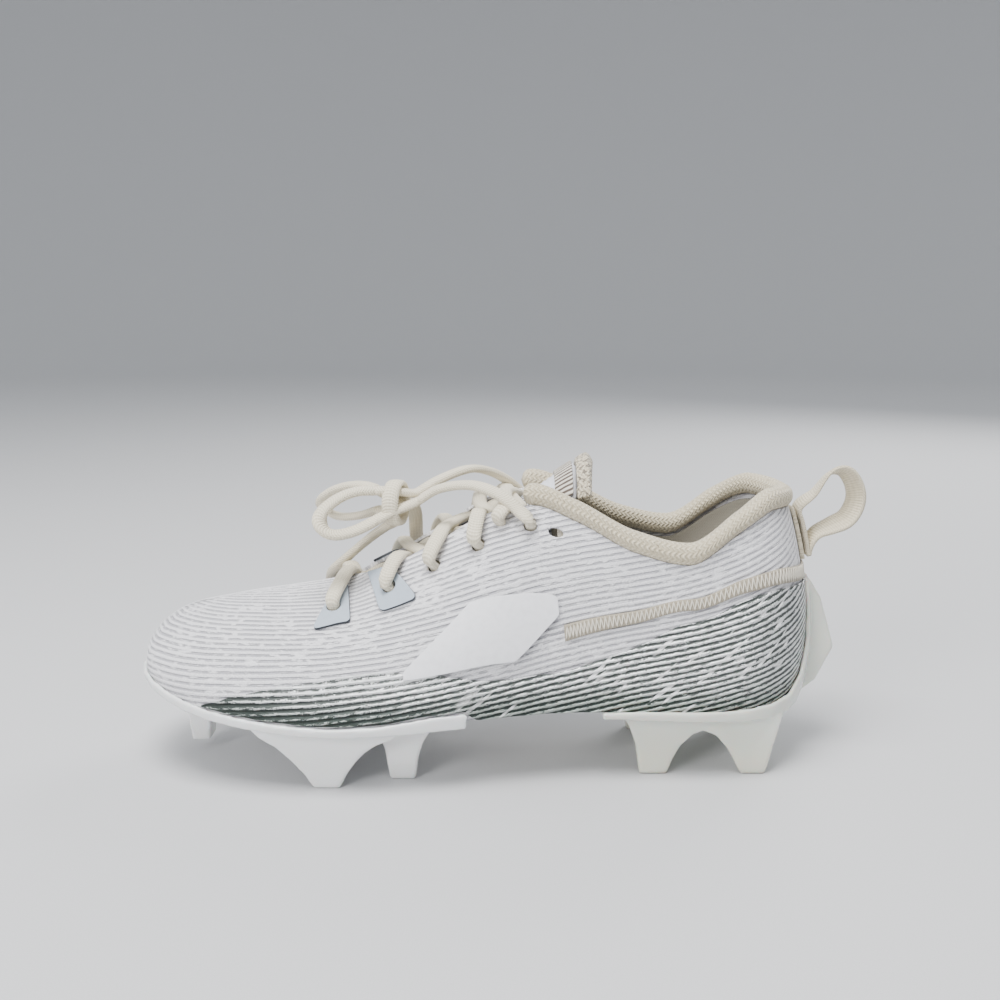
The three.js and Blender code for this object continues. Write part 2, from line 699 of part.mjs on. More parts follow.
// One half of the lace, from below the first eyelet on one side up to the last one.
function laceHalf(sign, high) {
  const list = [];
  let side = sign;
  for (let i = 0; i < EYELETS.length; i += 1) {
    list.push(eyeletAt(i, side, -UNDER), eyeletAt(i, side, 0.8), eyeletAt(i, side, OVER + 0.4));
    if (i < EYELETS.length - 1) {
      const [ka, kb] = [EYELETS[i][0], EYELETS[i + 1][0]];
      const a = flapEdge(ka * 0.75 + kb * 0.25, side, LACE / 2 + 1.4);
      const b = flapEdge(ka * 0.22 + kb * 0.78, -side, -UNDER);
      const mid = a.clone().add(b).multiplyScalar(0.5);
      if (EYELETS[i][1] < 0.8) {
        list.push(at(side * (ka + 0.12) / LAST, 0.84, OVER));
      }
      const rest = tongueTop(mid.x, mid.y, LACE / 2 + GAP + (high ? LACE + 1.1 : 0.6));
      list.push(a, rest, b);
      side = -side;
    }
  }
  return list;
}

function lacing(radius) {
  const left = laceHalf(-1, true);
  const right = laceHalf(1, false);
  const front = tongueTop(left[0].x, MID_Y, LACE / 2 + GAP + 0.6);
  const leadA = [
    place(7.5, 27.5, 113), place(3, 24, 117.5), place(-4, 18.5, 122), place(-13, 11, 124.5), place(-26, 3, 121),
    place(-35.4, -2.6, 116),
  ];
  const leadB = [
    place(7.5, -24.5, 113), place(3, -22, 116.5), place(-4, -18.5, 120), place(-13, -14, 121.5),
    place(-26, -10, 119), place(-35.4, -8.4, 113),
  ];
  const path = [...leadA.reverse(), ...left.reverse(), front, ...right, ...leadB];
  return tube(path.map((p) => [p.x, p.y, p.z]), radius, 130, 8);
}

function laceKnot() {
  const g = new THREE.SphereGeometry(1, 10, 7);
  g.scale(6, 7.5, 9.5);
  const c = place(-44, -6, 113.5);
  g.translate(c.x, c.y, c.z);
  return tidy(g);
}

function cordPath(list, steps) {
  return tube(list.map((p) => [p.x, p.y, p.z]), LACE / 2, steps, 8);
}

function bowLoopOuter() {
  return cordPath([
    place(-51.2, -8.5, 118), place(-60, -12, 118.5), place(-69, -16, 115), place(-75, -20, 108.5),
    place(-71, -21.5, 102), place(-61, -18, 102.5), place(-50.6, -12.6, 107),
  ], 18);
}

function bowLoopInner() {
  return cordPath([
    place(-51.4, -2.5, 117.5), place(-60, 2, 119), place(-72, 7, 116), place(-79, 12, 109),
    place(-74, 15, 103), place(-62, 9, 104), place(-50.8, 0.6, 109),
  ], 18);
}

const LAY = 2 * (GAP + FILM) + LACE / 2 + 1;

function tailA() {
  const rest = [[6.56, 0.84], [6.6, 0.66], [6.55, 0.5], [6.5, 0.36]].map(([k, w]) => at(k / LAST, w, LAY + 0.8));
  return [place(-38.6, 3, 111), place(-37.5, 12, 106), ...rest];
}

function tailB() {
  const rest = [[4.75, 0.82], [4.6, 0.64], [4.45, 0.5], [4.3, 0.38]].map(([k, w]) => at(k / LAST, w, LAY));
  return [place(-45, 0.6, 103.5), place(-56, 9, 95), ...rest];
}

function aglet(path) {
  const end = path[path.length - 1];
  const dir = end.clone().sub(path[path.length - 2]).normalize();
  const g = new THREE.CylinderGeometry(LACE / 2 - 0.1, LACE / 2 - 0.1, 18, 8);
  g.applyQuaternion(new THREE.Quaternion().setFromUnitVectors(V(0, 1, 0), dir));
  const c = end.clone().addScaledVector(dir, 9 + GAP + 0.2);
  g.translate(c.x, c.y, c.z);
  return tidy(g);
}

// ---- heel webbing and pull loop ----
function heelWebbing() {
  const half = 0.45;
  const ts = [-(LAST - half) / LAST, -1, (LAST - half) / LAST];
  return wall({ ts, w0: 0.68, w1: 0.97, nw: 5, d0: GAP, d1: GAP + WEBBING_THICK });
}

function pullTab() {
  const root = at(1, 0.92, GAP * 2 + WEBBING_THICK);
  const free = [[7.5, 9.5], [14.5, 18.5], [20, 19], [24.5, 13], [25.5, 6], [22, -1.5], [15.5, -5], [8.5, -8.5], [5.5, -14.5]];
  const sewn = [0.69, 0.75, 0.82, 0.89, 0.955].map((w) => at(1, w, GAP * 2 + WEBBING_THICK * 1.5 + 0.3));
  const path = [...free.map(([x, z]) => V(root.x + x, MID_Y, root.z + z)), ...sewn];
  const curve = new THREE.CatmullRomCurve3(path, true);
  const loops = spread(0, 1, 34).slice(0, -1).map((u) => {
    const p = curve.getPointAt(u);
    const dir = curve.getTangentAt(u);
    const n = V(-dir.z, 0, dir.x).multiplyScalar(WEBBING_THICK / 2);
    const y = V(0, WEBBING / 2, 0);
    return [
      p.clone().add(n).add(y), p.clone().sub(n).add(y), p.clone().sub(n).sub(y), p.clone().add(n).sub(y),
    ];
  });
  return skin(loops, true);
}

add('knit_vamp', knitVamp(), '#e9e7ec', 0.85, 0);
add('knit_heel', knitHeel(), '#e9e7ec', 0.85, 0);
add('knit_quarter', knitQuarter(), '#e7e5ea', 0.85, 0);
add('foil_band_outer', foilBand(-1), '#c4c8cc', 0.25, 0.9);
add('foil_band_inner', foilBand(1), '#c4c8cc', 0.25, 0.9);
add('seam_tape', seamTape(), '#b8ab90', 0.85, 0);
add('side_panel_outer', sidePanel(-1), '#f0eff2', 0.5, 0);
add('side_panel_inner', sidePanel(1), '#f0eff2', 0.5, 0);
add('lace_tab_front_outer', laceTab(4.6, 5.4, -1), '#b9c3cd', 0.6, 0);
add('lace_tab_rear_outer', laceTab(5.75, 6.6, -1), '#b9c3cd', 0.6, 0);
add('lace_tab_front_inner', laceTab(4.6, 5.4, 1), '#b9c3cd', 0.6, 0);
add('lace_tab_rear_inner', laceTab(5.75, 6.6, 1), '#b9c3cd', 0.6, 0);
add('collar_roll', collarRoll(), '#cfc4a4', 0.9, 0);
add('collar_lining', collarLining(), '#b9b1a0', 0.9, 0);
add('strobel_board', footSheet(KNIT + GAP + 0.4, 0, BOARD), '#d9d4c8', 0.9, 0);
add('insole', footSheet(KNIT + LINING + 2 * GAP + 2.4, BOARD + GAP, INSOLE), '#8d9096', 0.9, 0);
add('forefoot_plate', forefootPlate(), '#eceeed', 0.2, 0);
add('heel_plate', heelPlate(), '#e4e6dd', 0.25, 0);
add('tongue_body', tongueBody(), '#dfe0e6', 0.7, 0);
add('tongue_band', tongueBand(), '#5d5a55', 0.9, 0);
add('tongue_binding', tongueBinding(), '#cfc4a4', 0.9, 0);
add('lacing', lacing(LACE / 2), '#ddd6c0', 0.85, 0);
add('lace_knot', laceKnot(), '#ddd6c0', 0.85, 0);
add('bow_loop_outer', bowLoopOuter(), '#ddd6c0', 0.85, 0);
add('bow_loop_inner', bowLoopInner(), '#ddd6c0', 0.85, 0);
add('lace_tail_a', cordPath(tailA(), 16), '#ddd6c0', 0.85, 0);
add('lace_tail_b', cordPath(tailB(), 16), '#ddd6c0', 0.85, 0);
add('aglet_a', aglet(tailA()), '#e8e6de', 0.3, 0);
add('aglet_b', aglet(tailB()), '#e8e6de', 0.3, 0);
add('heel_webbing', heelWebbing(), '#d3c8aa', 0.9, 0);
add('pull_tab', pullTab(), '#d3c8aa', 0.9, 0);

// ---- origin under the middle of the boot, measured without the laces ----
const CORDS = ['lacing', 'lace_knot', 'bow_loop_outer', 'bow_loop_inner', 'lace_tail_a', 'lace_tail_b', 'aglet_a', 'aglet_b'];
const box = new THREE.Box3();
for (const mesh of group.children) {
  if (!CORDS.includes(mesh.name)) {
    box.expandByObject(mesh);
  }
}
for (const mesh of group.children) {
  mesh.geometry.translate(-(box.min.x + box.max.x) / 2, -(box.min.y + box.max.y) / 2, -box.min.z);
}

export default group;
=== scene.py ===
"""Studded field boot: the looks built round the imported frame. Metres, +Z up, toe towards -X."""

import json
import logging
import math
from dataclasses import dataclass, field
from enum import Enum
from typing import Callable, Sequence

import bmesh
import bpy
import numpy as np
from mathutils import Matrix, Vector

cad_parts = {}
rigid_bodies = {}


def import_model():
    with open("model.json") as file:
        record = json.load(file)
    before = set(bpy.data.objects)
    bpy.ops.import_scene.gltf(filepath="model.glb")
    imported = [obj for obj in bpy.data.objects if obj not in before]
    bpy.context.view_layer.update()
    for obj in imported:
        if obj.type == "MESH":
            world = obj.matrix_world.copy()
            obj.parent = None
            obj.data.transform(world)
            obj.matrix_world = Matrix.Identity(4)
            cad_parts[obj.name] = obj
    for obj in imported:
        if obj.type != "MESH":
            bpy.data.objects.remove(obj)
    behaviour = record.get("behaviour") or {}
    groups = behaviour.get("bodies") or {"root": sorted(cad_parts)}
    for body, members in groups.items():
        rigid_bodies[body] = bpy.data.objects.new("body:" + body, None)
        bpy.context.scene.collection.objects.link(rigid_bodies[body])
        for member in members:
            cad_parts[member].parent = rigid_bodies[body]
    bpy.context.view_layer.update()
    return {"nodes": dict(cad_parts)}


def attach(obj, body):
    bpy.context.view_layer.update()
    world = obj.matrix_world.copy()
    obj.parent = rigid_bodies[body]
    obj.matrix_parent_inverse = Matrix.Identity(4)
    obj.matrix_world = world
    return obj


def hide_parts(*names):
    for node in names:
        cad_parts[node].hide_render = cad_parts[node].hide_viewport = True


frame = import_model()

LOG = logging.getLogger("boot")
SHIFT = np.array([1.1193, 2.5232, 0.0])
MM = 0.001
Array = np.ndarray


class Side(Enum):
    """Which flank of the left foot a piece is on."""

    OUTER = -1
    INNER = 1


class Body(Enum):
    """The moving bodies of the frame."""

    BOOT = "boot"
    TONGUE = "tongue"
    PULL = "pull_loop"


# ---------------------------------------------------------------- boot surface


class Track:
    """A smooth line through given values at whole stations, with no overshoot."""

    def __init__(self, values: Sequence[float], flat_ends: bool = False) -> None:
        """Keeps the values and works out their slopes.

        Args:
            values: one value a station.
            flat_ends: whether the line leaves both ends level.
        """
        v = np.array(values, float)
        d = np.diff(v)
        before = np.concatenate([[d[0]], d])
        after = np.concatenate([d, [d[-1]]])
        same = before * after > 0
        total = np.where(same, before + after, 1.0)
        self.values = v
        self.slopes = np.where(same, 2 * before * after / total, 0.0)
        if flat_ends:
            self.slopes[0] = self.slopes[-1] = 0.0

    def __call__(self, k: Array) -> Array:
        """The value at station k, which may be between stations."""
        k = np.asarray(k, float)
        i = np.clip(np.floor(k).astype(int), 0, len(self.values) - 2)
        s = k - i
        a = s * s * (3 - 2 * s)
        v, m = self.values, self.slopes
        rise = m[i] * s * (1 - s) ** 2 - m[i + 1] * s * s * (1 - s)
        return v[i] * (1 - a) + v[i + 1] * a + rise


def unit(v: Array) -> Array:
    """Vectors scaled to length one, along the last axis."""
    return v / np.maximum(np.linalg.norm(v, axis=-1, keepdims=True), 1e-9)


def stack(x: Array, y: Array, z: Array) -> Array:
    """Three coordinate arrays as points."""
    return np.stack(np.broadcast_arrays(x, y, z), axis=-1).astype(float)


@dataclass(frozen=True)
class BootSurface:
    """The outside of the knit upper and of the sole board, in the maker's millimetres.

    t runs from -1 (heel) by 0 (toe) to 1 (heel), negative on the outer side. w runs from
    -1 (sole centre line) by 0 (feather line) to 1 (top edge, or the ridge over the toes).
    """

    mid_y: float = 2.0
    sole_z: float = 28.2
    last: int = 16
    throat: float = 5.0
    feather_x: Track = field(default_factory=lambda: Track(
        [-153.5, -149.5, -137, -118, -90, -68, -50, -28, -2, 20, 38, 58, 80, 102, 119, 127, 129], True))
    half_out: Track = field(default_factory=lambda: Track(
        [0, 17, 32, 43, 50, 52, 51, 48, 43, 39, 37, 36, 36, 34, 25, 11, 0]))
    half_in: Track = field(default_factory=lambda: Track(
        [0, 16, 28, 36, 41, 43, 42, 38, 32, 29, 28, 29, 31, 31, 24, 11, 0]))
    rise: Track = field(default_factory=lambda: Track(
        [13, 11.5, 8, 4, 1, 0, 0, 0.8, 2, 2.4, 2.2, 1.4, 0.4, 0, 0.6, 1.6, 2], True))
    edge_x: Track = field(default_factory=lambda: Track(
        [-128, -126, -118, -105, -86, -68, -50, -26, -3, 14, 32, 55, 76, 97, 113, 121.5, 123.5], True))
    edge_z: Track = field(default_factory=lambda: Track(
        [39.5, 40, 41.5, 44, 47, 50.5, 57, 70, 83, 86.1, 80, 68.6, 64, 76.5, 84.2, 83.4, 82.8], True))
    edge_out: Track = field(default_factory=lambda: Track(
        [0, 0, 0, 0, 0, 0, 12, 17, 20, 23, 29, 35, 37, 33, 23, 10, 0]))
    edge_in: Track = field(default_factory=lambda: Track(
        [0, 0, 0, 0, 0, 0, 12, 17, 20, 22, 25, 29, 32, 31, 22, 10, 0]))
    tilt: Track = field(default_factory=lambda: Track(
        [0, 0, 0, 0, 2, 8, 30, 36, 42, 52, 68, 80, 84, 80, 74, 72, 72], True))
    swell: Track = field(default_factory=lambda: Track(
        [0.4, 0.4, 0.37, 0.35, 0.34, 0.34, 0.34, 0.32, 0.26, 0.2, 0.18, 0.16, 0.16, 0.18, 0.2, 0.22,
         0.22], True))

    def station(self, t: Array) -> Array:
        """The station, 0 at the toe and 16 at the heel, for each t."""
        return np.minimum(self.last, np.abs(t) * self.last)

    def feather(self, t: Array) -> Array:
        """Points of the line where the upper meets the sole."""
        k = self.station(t)
        half = np.where(t < 0, -self.half_out(k), self.half_in(k))
        return stack(self.feather_x(k), self.mid_y + half, self.sole_z + self.rise(k))

    def top_edge(self, t: Array) -> Array:
        """Points of the ridge, the throat's edge and the collar's edge."""
        k = self.station(t)
        half = np.where(t < 0, -self.edge_out(k), self.edge_in(k))
        half = np.where(k <= self.throat, 0.0, half)
        return stack(self.edge_x(k), self.mid_y + half, self.sole_z + self.edge_z(k))

    def outward(self, t: Array) -> Array:
        """Level directions pointing away from the foot at the feather line."""
        step = 0.004
        d = self.feather(np.minimum(1, t + step)) - self.feather(np.maximum(-1, t - step))
        out = unit(stack(-d[..., 1], d[..., 0], 0 * d[..., 0]))
        return np.where((np.abs(t) > 1 - step)[..., None], [1.0, 0, 0], out)

    def surface(self, t: Array, w: Array) -> Array:
        """Points of the bare surface."""
        t, w = np.broadcast_arrays(np.asarray(t, float), np.asarray(w, float))
        p, e, out = self.feather(t), self.top_edge(t), self.outward(t)
        k = self.station(t)
        chord = np.linalg.norm(e - p, axis=-1)[..., None]
        tilt = np.radians(self.tilt(k))[..., None]
        up = np.array([0, 0, 1.0])
        lean = (out * self.swell(k)[..., None] + up * 0.93) * chord * 1.1
        land = (-out * np.cos(tilt) + up * np.sin(tilt)) * chord * 0.9
        v = w[..., None]
        a = v * v * (3 - 2 * v)
        side = p * (1 - a) + e * a + lean * v * (1 - v) ** 2 - land * v * v * (1 - v)
        sole = p + (stack(p[..., 0], self.mid_y + 0 * w, p[..., 2]) - p) * -v
        return np.where(v <= 0, sole, side)

    def raw_normal(self, t: Array, w: Array) -> Array:
        """Outward directions of the wall above the feather line."""
        top = np.where(self.station(t) < self.throat + 0.2, 0.95, 0.995)
        ww = np.maximum(0.004, np.minimum(w, top))
        du = self.surface(np.minimum(1, t + 0.006), ww) - self.surface(np.maximum(-1, t - 0.006), ww)
        dw = self.surface(t, ww + 0.004) - self.surface(t, ww - 0.004)
        return -unit(np.cross(du, dw))

    def away(self, t: Array, w: Array) -> Array:
        """The direction in which a wall is set out from the surface, mitred at the feather line."""
        t, w = np.broadcast_arrays(np.asarray(t, float), np.asarray(w, float))
        n = self.raw_normal(t, np.maximum(w, 0))
        mirror = np.array([1.0, -1, 1])
        ends = (np.abs(t) > 0.985) | (np.abs(t) < 0.01)
        n = np.where(ends[..., None], unit(n + n * mirror), n)
        ridge = ((self.station(t) <= self.throat) & (w > 0.9))[..., None]
        both = unit(n + self.raw_normal(-t, np.maximum(w, 0)))
        share = np.clip((w[..., None] - 0.9) * 10, 0, 1)
        n = np.where(ridge, unit(n * (1 - share) + both * share), n)
        k = self.station(t)
        k0, k1 = np.maximum(0.05, k - 0.2), np.minimum(self.last - 0.05, k + 0.2)
        slope = (self.rise(k1) - self.rise(k0)) / (self.feather_x(k1) - self.feather_x(k0))
        down = unit(stack(slope, 0 * slope, -1 + 0 * slope))
        mitre = (n + down) / (1 + np.sum(n * down, axis=-1, keepdims=True))
        return np.where((w < -1e-6)[..., None], down, np.where((w > 0.001)[..., None], n, mitre))

    def at(self, t: Array, w: Array, d: Array = 0.0) -> Array:
        """Points set d millimetres out from the surface."""
        return self.surface(t, w) + self.away(t, w) * np.asarray(d, float)[..., None]


BOOT = BootSurface()
RIB_PITCH, RIB_SWAY = 2.5, 0.6
RIB_BENDS = ((0.07, 85.0, 45.0, 1.0), (0.1, 225.0, 45.0, 1.0), (-0.14, 62.0, 34.0, -1.0))
SEAM_K = 9.0
SEAM = Track([0.36] * 9 + [0.37, 0.455, 0.605, 0.735, 0.705, 0.66, 0.64, 0.635], True)
FOIL_TOP = Track([0.1, 0.1, 0.1, 0.115, 0.232, 0.285, 0.333, 0.27, 0.19, 0.2, 0.27, 0.43, 0.615, 0.63, 0.6,
                  0.59, 0.585], True)
FORE_LIP = Track([0.06, 0.055, 0.05, 0.04, 0.03, 0.025, 0.03, 0.055, 0.05], True)
EYELETS = [(4.95, 0.69), (6.18, 0.81), (6.9, 0.845), (7.65, 0.84), (8.12, 0.925), (8.86, 0.89)]
SPARE = (9.46, 0.88)
GAP, KNIT, FILM, TAB, LINING, LACE, WEB_THICK = 0.3, 1.8, 0.6, 1.2, 1.2, 3.6, 1.8
DRILL_DEPTH = 0.012


def spot(k: float, w: float, side: Side, d: float) -> Array:
    """One point set out from the surface at station k on one side."""
    return BOOT.at(np.array(side.value * k / BOOT.last), np.array(w), np.array(d))


def from_heel(s: Array) -> Array:
    """t for signed stations counted from the heel."""
    return np.where(s < 0, -(BOOT.last + s), BOOT.last - s) / BOOT.last


def level(value: float) -> Callable:
    """An edge that keeps one height at every station."""
    return lambda k: 0 * k + value


def dome(x: Array) -> Array:
    """A quarter round from 0 at x = 0 to 1 at x = 1 and beyond."""
    return np.sqrt(np.clip(1 - (1 - np.clip(x, 0, 1)) ** 2, 0, 1))


def squared(x: Array, power: float) -> Array:
    """A signed wave made squarer by a power below 1."""
    return np.sign(x) * np.abs(x) ** power


# ---------------------------------------------------------------- mesh making


def lengths(points: Array, axis: int) -> Array:
    """Running lengths of a grid of points along one axis."""
    steps = np.linalg.norm(np.diff(points, axis=axis), axis=-1)
    zero = np.zeros_like(np.take(steps, [0], axis=axis))
    return np.concatenate([zero, np.cumsum(steps, axis=axis)], axis=axis)


def mapped_grid(points: Array, along: Array | None = None, across: Array | None = None,
                flip: bool = False, weld: float = 2e-5) -> bmesh.types.BMesh:
    """A grid whose points are carried to their places, with a UV map in millimetres.

    Args:
        points: a grid of places in the maker's millimetres.
        along: first UV value of each row or point, or None for the running length.
        across: second UV value of each point, or None for the running length.
        flip: whether the faces are turned over.
        weld: how near points are merged, in metres.

    Returns:
        The mesh, in metres in the row frame.
    """
    nu, nv = points.shape[0] - 1, points.shape[1] - 1
    if along is None:
        along = lengths(points, 0)[:, nv // 2]
    if across is None:
        across = lengths(points, 1)
    along = np.broadcast_to(along[:, None] if along.ndim == 1 else along, across.shape)
    bm = bmesh.new()
    bmesh.ops.create_grid(bm, x_segments=nu, y_segments=nv, size=0.5, calc_uvs=False)
    layer = bm.loops.layers.uv.new("UVMap")
    where = {}
    for vert in bm.verts:
        i, j = round((vert.co.x + 0.5) * nu), round((vert.co.y + 0.5) * nv)
        where[vert.index] = (i, j)
        vert.co = Vector((points[i, j] + SHIFT) * MM)
    bm.verts.index_update()
    for face in bm.faces:
        face.smooth = True
        for loop in face.loops:
            i, j = where[loop.vert.index]
            loop[layer].uv = (along[i, j], across[i, j])
    bmesh.ops.remove_doubles(bm, verts=bm.verts, dist=weld)
    if flip:
        bmesh.ops.reverse_faces(bm, faces=bm.faces)
    return bm


@dataclass(frozen=True)
class Measure:
    """Lengths on the boot, so that every layer carries one and the same map."""

    rows: int = 161
    columns: int = 51

    def __post_init__(self) -> None:
        """Measures the boot once."""
        k = np.linspace(0, BOOT.last, self.rows)
        w = np.linspace(0, 1, self.columns)
        heights, runs = [], []
        for side in Side:
            points = BOOT.surface(side.value * k[:, None] / BOOT.last, w[None, :])
            heights.append(lengths(points, 1))
            runs.append(lengths(points, 0)[:, round(0.35 * self.columns)])
        object.__setattr__(self, "height", np.array(heights))
        object.__setattr__(self, "run", np.mean(runs, axis=0))

    def along(self, t: Array) -> Array:
        """Length from the toe to each t."""
        return np.interp(BOOT.station(t), np.linspace(0, BOOT.last, self.rows), self.run)

    def across(self, t: Array, w: Array) -> Array:
        """Length from the feather line up to each w."""
        i = BOOT.station(t) / BOOT.last * (self.rows - 1)
        j = np.clip(w, 0, 1) * (self.columns - 1)
        i0, j0 = np.minimum(i.astype(int), self.rows - 2), np.minimum(j.astype(int), self.columns - 2)
        a, b = i - i0, j - j0
        h, side = self.height, (t > 0).astype(int)
        low = h[side, i0, j0] * (1 - b) + h[side, i0, j0 + 1] * b
        return low * (1 - a) + (h[side, i0 + 1, j0] * (1 - b) + h[side, i0 + 1, j0 + 1] * b) * a


MEASURE = Measure()


def rib_rows(along: Array, across: Array) -> Array:
    """The row measure of the knit: level round the toe, then climbing to the heel in two bends."""
    rows = across + RIB_SWAY * np.sin(along / 23 + across / 19)
    for climb, place, ease, way in RIB_BENDS:
        past = (along - place) * way
        rows = rows - climb * (np.sqrt(past ** 2 + ease ** 2) + past)
    return rows


def lay(t: Array, w: Array, d: float, rib: float = 0.0, flip: bool = False) -> bmesh.types.BMesh:
    """A sheet lying on the boot over a grid of places.

    Args:
        t: place along, for each grid point.
        w: height, for each grid point.
        d: how far out it lies, in millimetres.
        rib: height of the knit's ribs, below d.
        flip: whether the grid runs the other way round.

    Returns:
        The sheet, facing away from the foot.
    """
    along, across = MEASURE.along(t), MEASURE.across(t, w)
    wave = 0.5 + 0.5 * np.cos(2 * np.pi * rib_rows(along, across) / RIB_PITCH)
    return mapped_grid(BOOT.at(t, w, d - rib * (1 - wave)), along, across, flip=flip)


def patch(sa: float, sb: float, low: Callable, high: Callable, nu: int, nv: int, d: float, *,
          heel: bool = False, rib: float = 0.0) -> bmesh.types.BMesh:
    """A sheet lying on the boot between two stations and two heights.

    Args:
        sa: first signed station, counted from the toe, or from the heel where heel is set.
        sb: last signed station.
        low: lower edge's w for a station.
        high: upper edge's w for a station.
        nu: cells along.
        nv: cells across.
        d: how far out it lies, in millimetres.
        heel: whether the stations are counted from the heel.
        rib: height of the knit's ribs, below d.

    Returns:
        The sheet, facing away from the foot.
    """
    u, v = np.meshgrid(np.linspace(0, 1, nu + 1), np.linspace(0, 1, nv + 1), indexing="ij")
    s = sa + (sb - sa) * u
    t = from_heel(s) if heel else s / BOOT.last
    k = BOOT.station(t)
    return lay(t, low(k) + (high(k) - low(k)) * v, d, rib, flip=not heel)


def corner_patch(corners: Sequence[tuple], side: Side, cells: int, d: float,
                 soft: float = 0.16) -> bmesh.types.BMesh:
    """A four-cornered sheet lying on the boot, its corners rounded.

    Args:
        corners: (station, w) of low front, low rear, high rear and high front.
        side: the side it lies on.
        cells: cells each way.
        d: how far out it lies, in millimetres.
        soft: size of the rounded corners, as a share of the sheet.

    Returns:
        The sheet, facing away from the foot.
    """
    u, v = np.meshgrid(np.linspace(0, 1, cells + 1), np.linspace(0, 1, cells + 1), indexing="ij")
    v = 0.5 + (v - 0.5) * (1 - soft * (1 - dome(np.minimum(u, 1 - u) / soft)))
    (k0, w0), (k1, w1), (k2, w2), (k3, w3) = corners
    k = (k0 * (1 - u) + k1 * u) * (1 - v) + (k3 * (1 - u) + k2 * u) * v
    w = (w0 * (1 - u) + w1 * u) * (1 - v) + (w3 * (1 - u) + w2 * u) * v
    return lay(side.value * k / BOOT.last, w, d, flip=side is Side.INNER)


def make(name: str, bm: bmesh.types.BMesh, *materials: bpy.types.Material) -> bpy.types.Object:
    """Puts a mesh into the scene as a piece.

    Args:
        name: the piece's name.
        bm: its mesh, which is freed.
        materials: its materials in slot order.

    Returns:
        The new object.
    """
    bm.normal_update()
    mesh = bpy.data.meshes.new(name)
    bm.to_mesh(mesh)
    bm.free()
    obj = bpy.data.objects.new(name, mesh)
    bpy.context.scene.collection.objects.link(obj)
    for m in materials:
        mesh.materials.append(m)
    LOG.info("%s: %d faces", name, len(mesh.polygons))
    return obj


def thicken(obj: bpy.types.Object, depth: float, inward: bool = True, rim: int = 0,
            round_by: float = 0.0) -> None:
    """Gives an open sheet its wall, and rounds its cut edges.

    Args:
        obj: the piece.
        depth: wall in millimetres.
        inward: whether the wall grows towards the foot.
        rim: material slot offset of the cut edge.
        round_by: radius of the rounded edge in millimetres.
    """
    solid = obj.modifiers.new("wall", "SOLIDIFY")
    solid.thickness = depth * MM
    solid.offset = -1 if inward else 1
    solid.material_offset_rim = rim
    solid.use_even_offset = False
    if round_by:
        bevel = obj.modifiers.new("edge", "BEVEL")
        bevel.width = round_by * MM
        bevel.segments = 2
        bevel.limit_method = "ANGLE"
        bevel.angle_limit = math.radians(50)


def bake(obj: bpy.types.Object) -> None:
    """Applies a piece's modifiers."""
    graph = bpy.context.evaluated_depsgraph_get()
    graph.update()
    mesh = bpy.data.meshes.new_from_object(obj.evaluated_get(graph))
    obj.modifiers.clear()
    old, obj.data = obj.data, mesh
    bpy.data.meshes.remove(old)


def smooth_shade(obj: bpy.types.Object) -> None:
    """Shades every face smooth."""
    for p in obj.data.polygons:
        p.use_smooth = True


def settle(obj: bpy.types.Object, body: Body, slot: str, *nodes: str) -> bpy.types.Object:
    """Makes a piece stand for its CAD nodes and ride on a body."""
    if nodes:
        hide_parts(*nodes)
    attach(obj, body.value)
    return obj


def curve_through(points: Sequence[Sequence[float]], steps: int) -> Array:
    """Points evenly spaced on a centripetal curve through given points.

    Args:
        points: the points, in millimetres.
        steps: how many stretches to give back.

    Returns:
        steps + 1 points.
    """
    p = np.array(points, float)
    p = np.vstack([2 * p[0] - p[1], p, 2 * p[-1] - p[-2]])
    fine = []
    for i in range(1, len(p) - 2):
        q = p[i - 1:i + 3]
        knots = np.concatenate([[0], np.cumsum(np.linalg.norm(np.diff(q, axis=0), axis=1) ** 0.5 + 1e-6)])
        s = np.linspace(knots[1], knots[2], 25)[:, None]

        def mix(a: Array, b: Array, i0: int, i1: int) -> Array:
            """A straight blend of two lines between two knots."""
            span = knots[i1] - knots[i0]
            return (knots[i1] - s) / span * a + (s - knots[i0]) / span * b

        a1, a2, a3 = mix(q[0], q[1], 0, 1), mix(q[1], q[2], 1, 2), mix(q[2], q[3], 2, 3)
        b1, b2 = mix(a1, a2, 0, 2), mix(a2, a3, 1, 3)
        fine.append(mix(b1, b2, 1, 2)[:-1])
    line = np.vstack(fine + [p[-2:-1]])
    run = np.concatenate([[0], np.cumsum(np.linalg.norm(np.diff(line, axis=0), axis=1))])
    want = np.linspace(0, run[-1], steps + 1)
    return np.stack([np.interp(want, run, line[:, i]) for i in range(3)], axis=1)


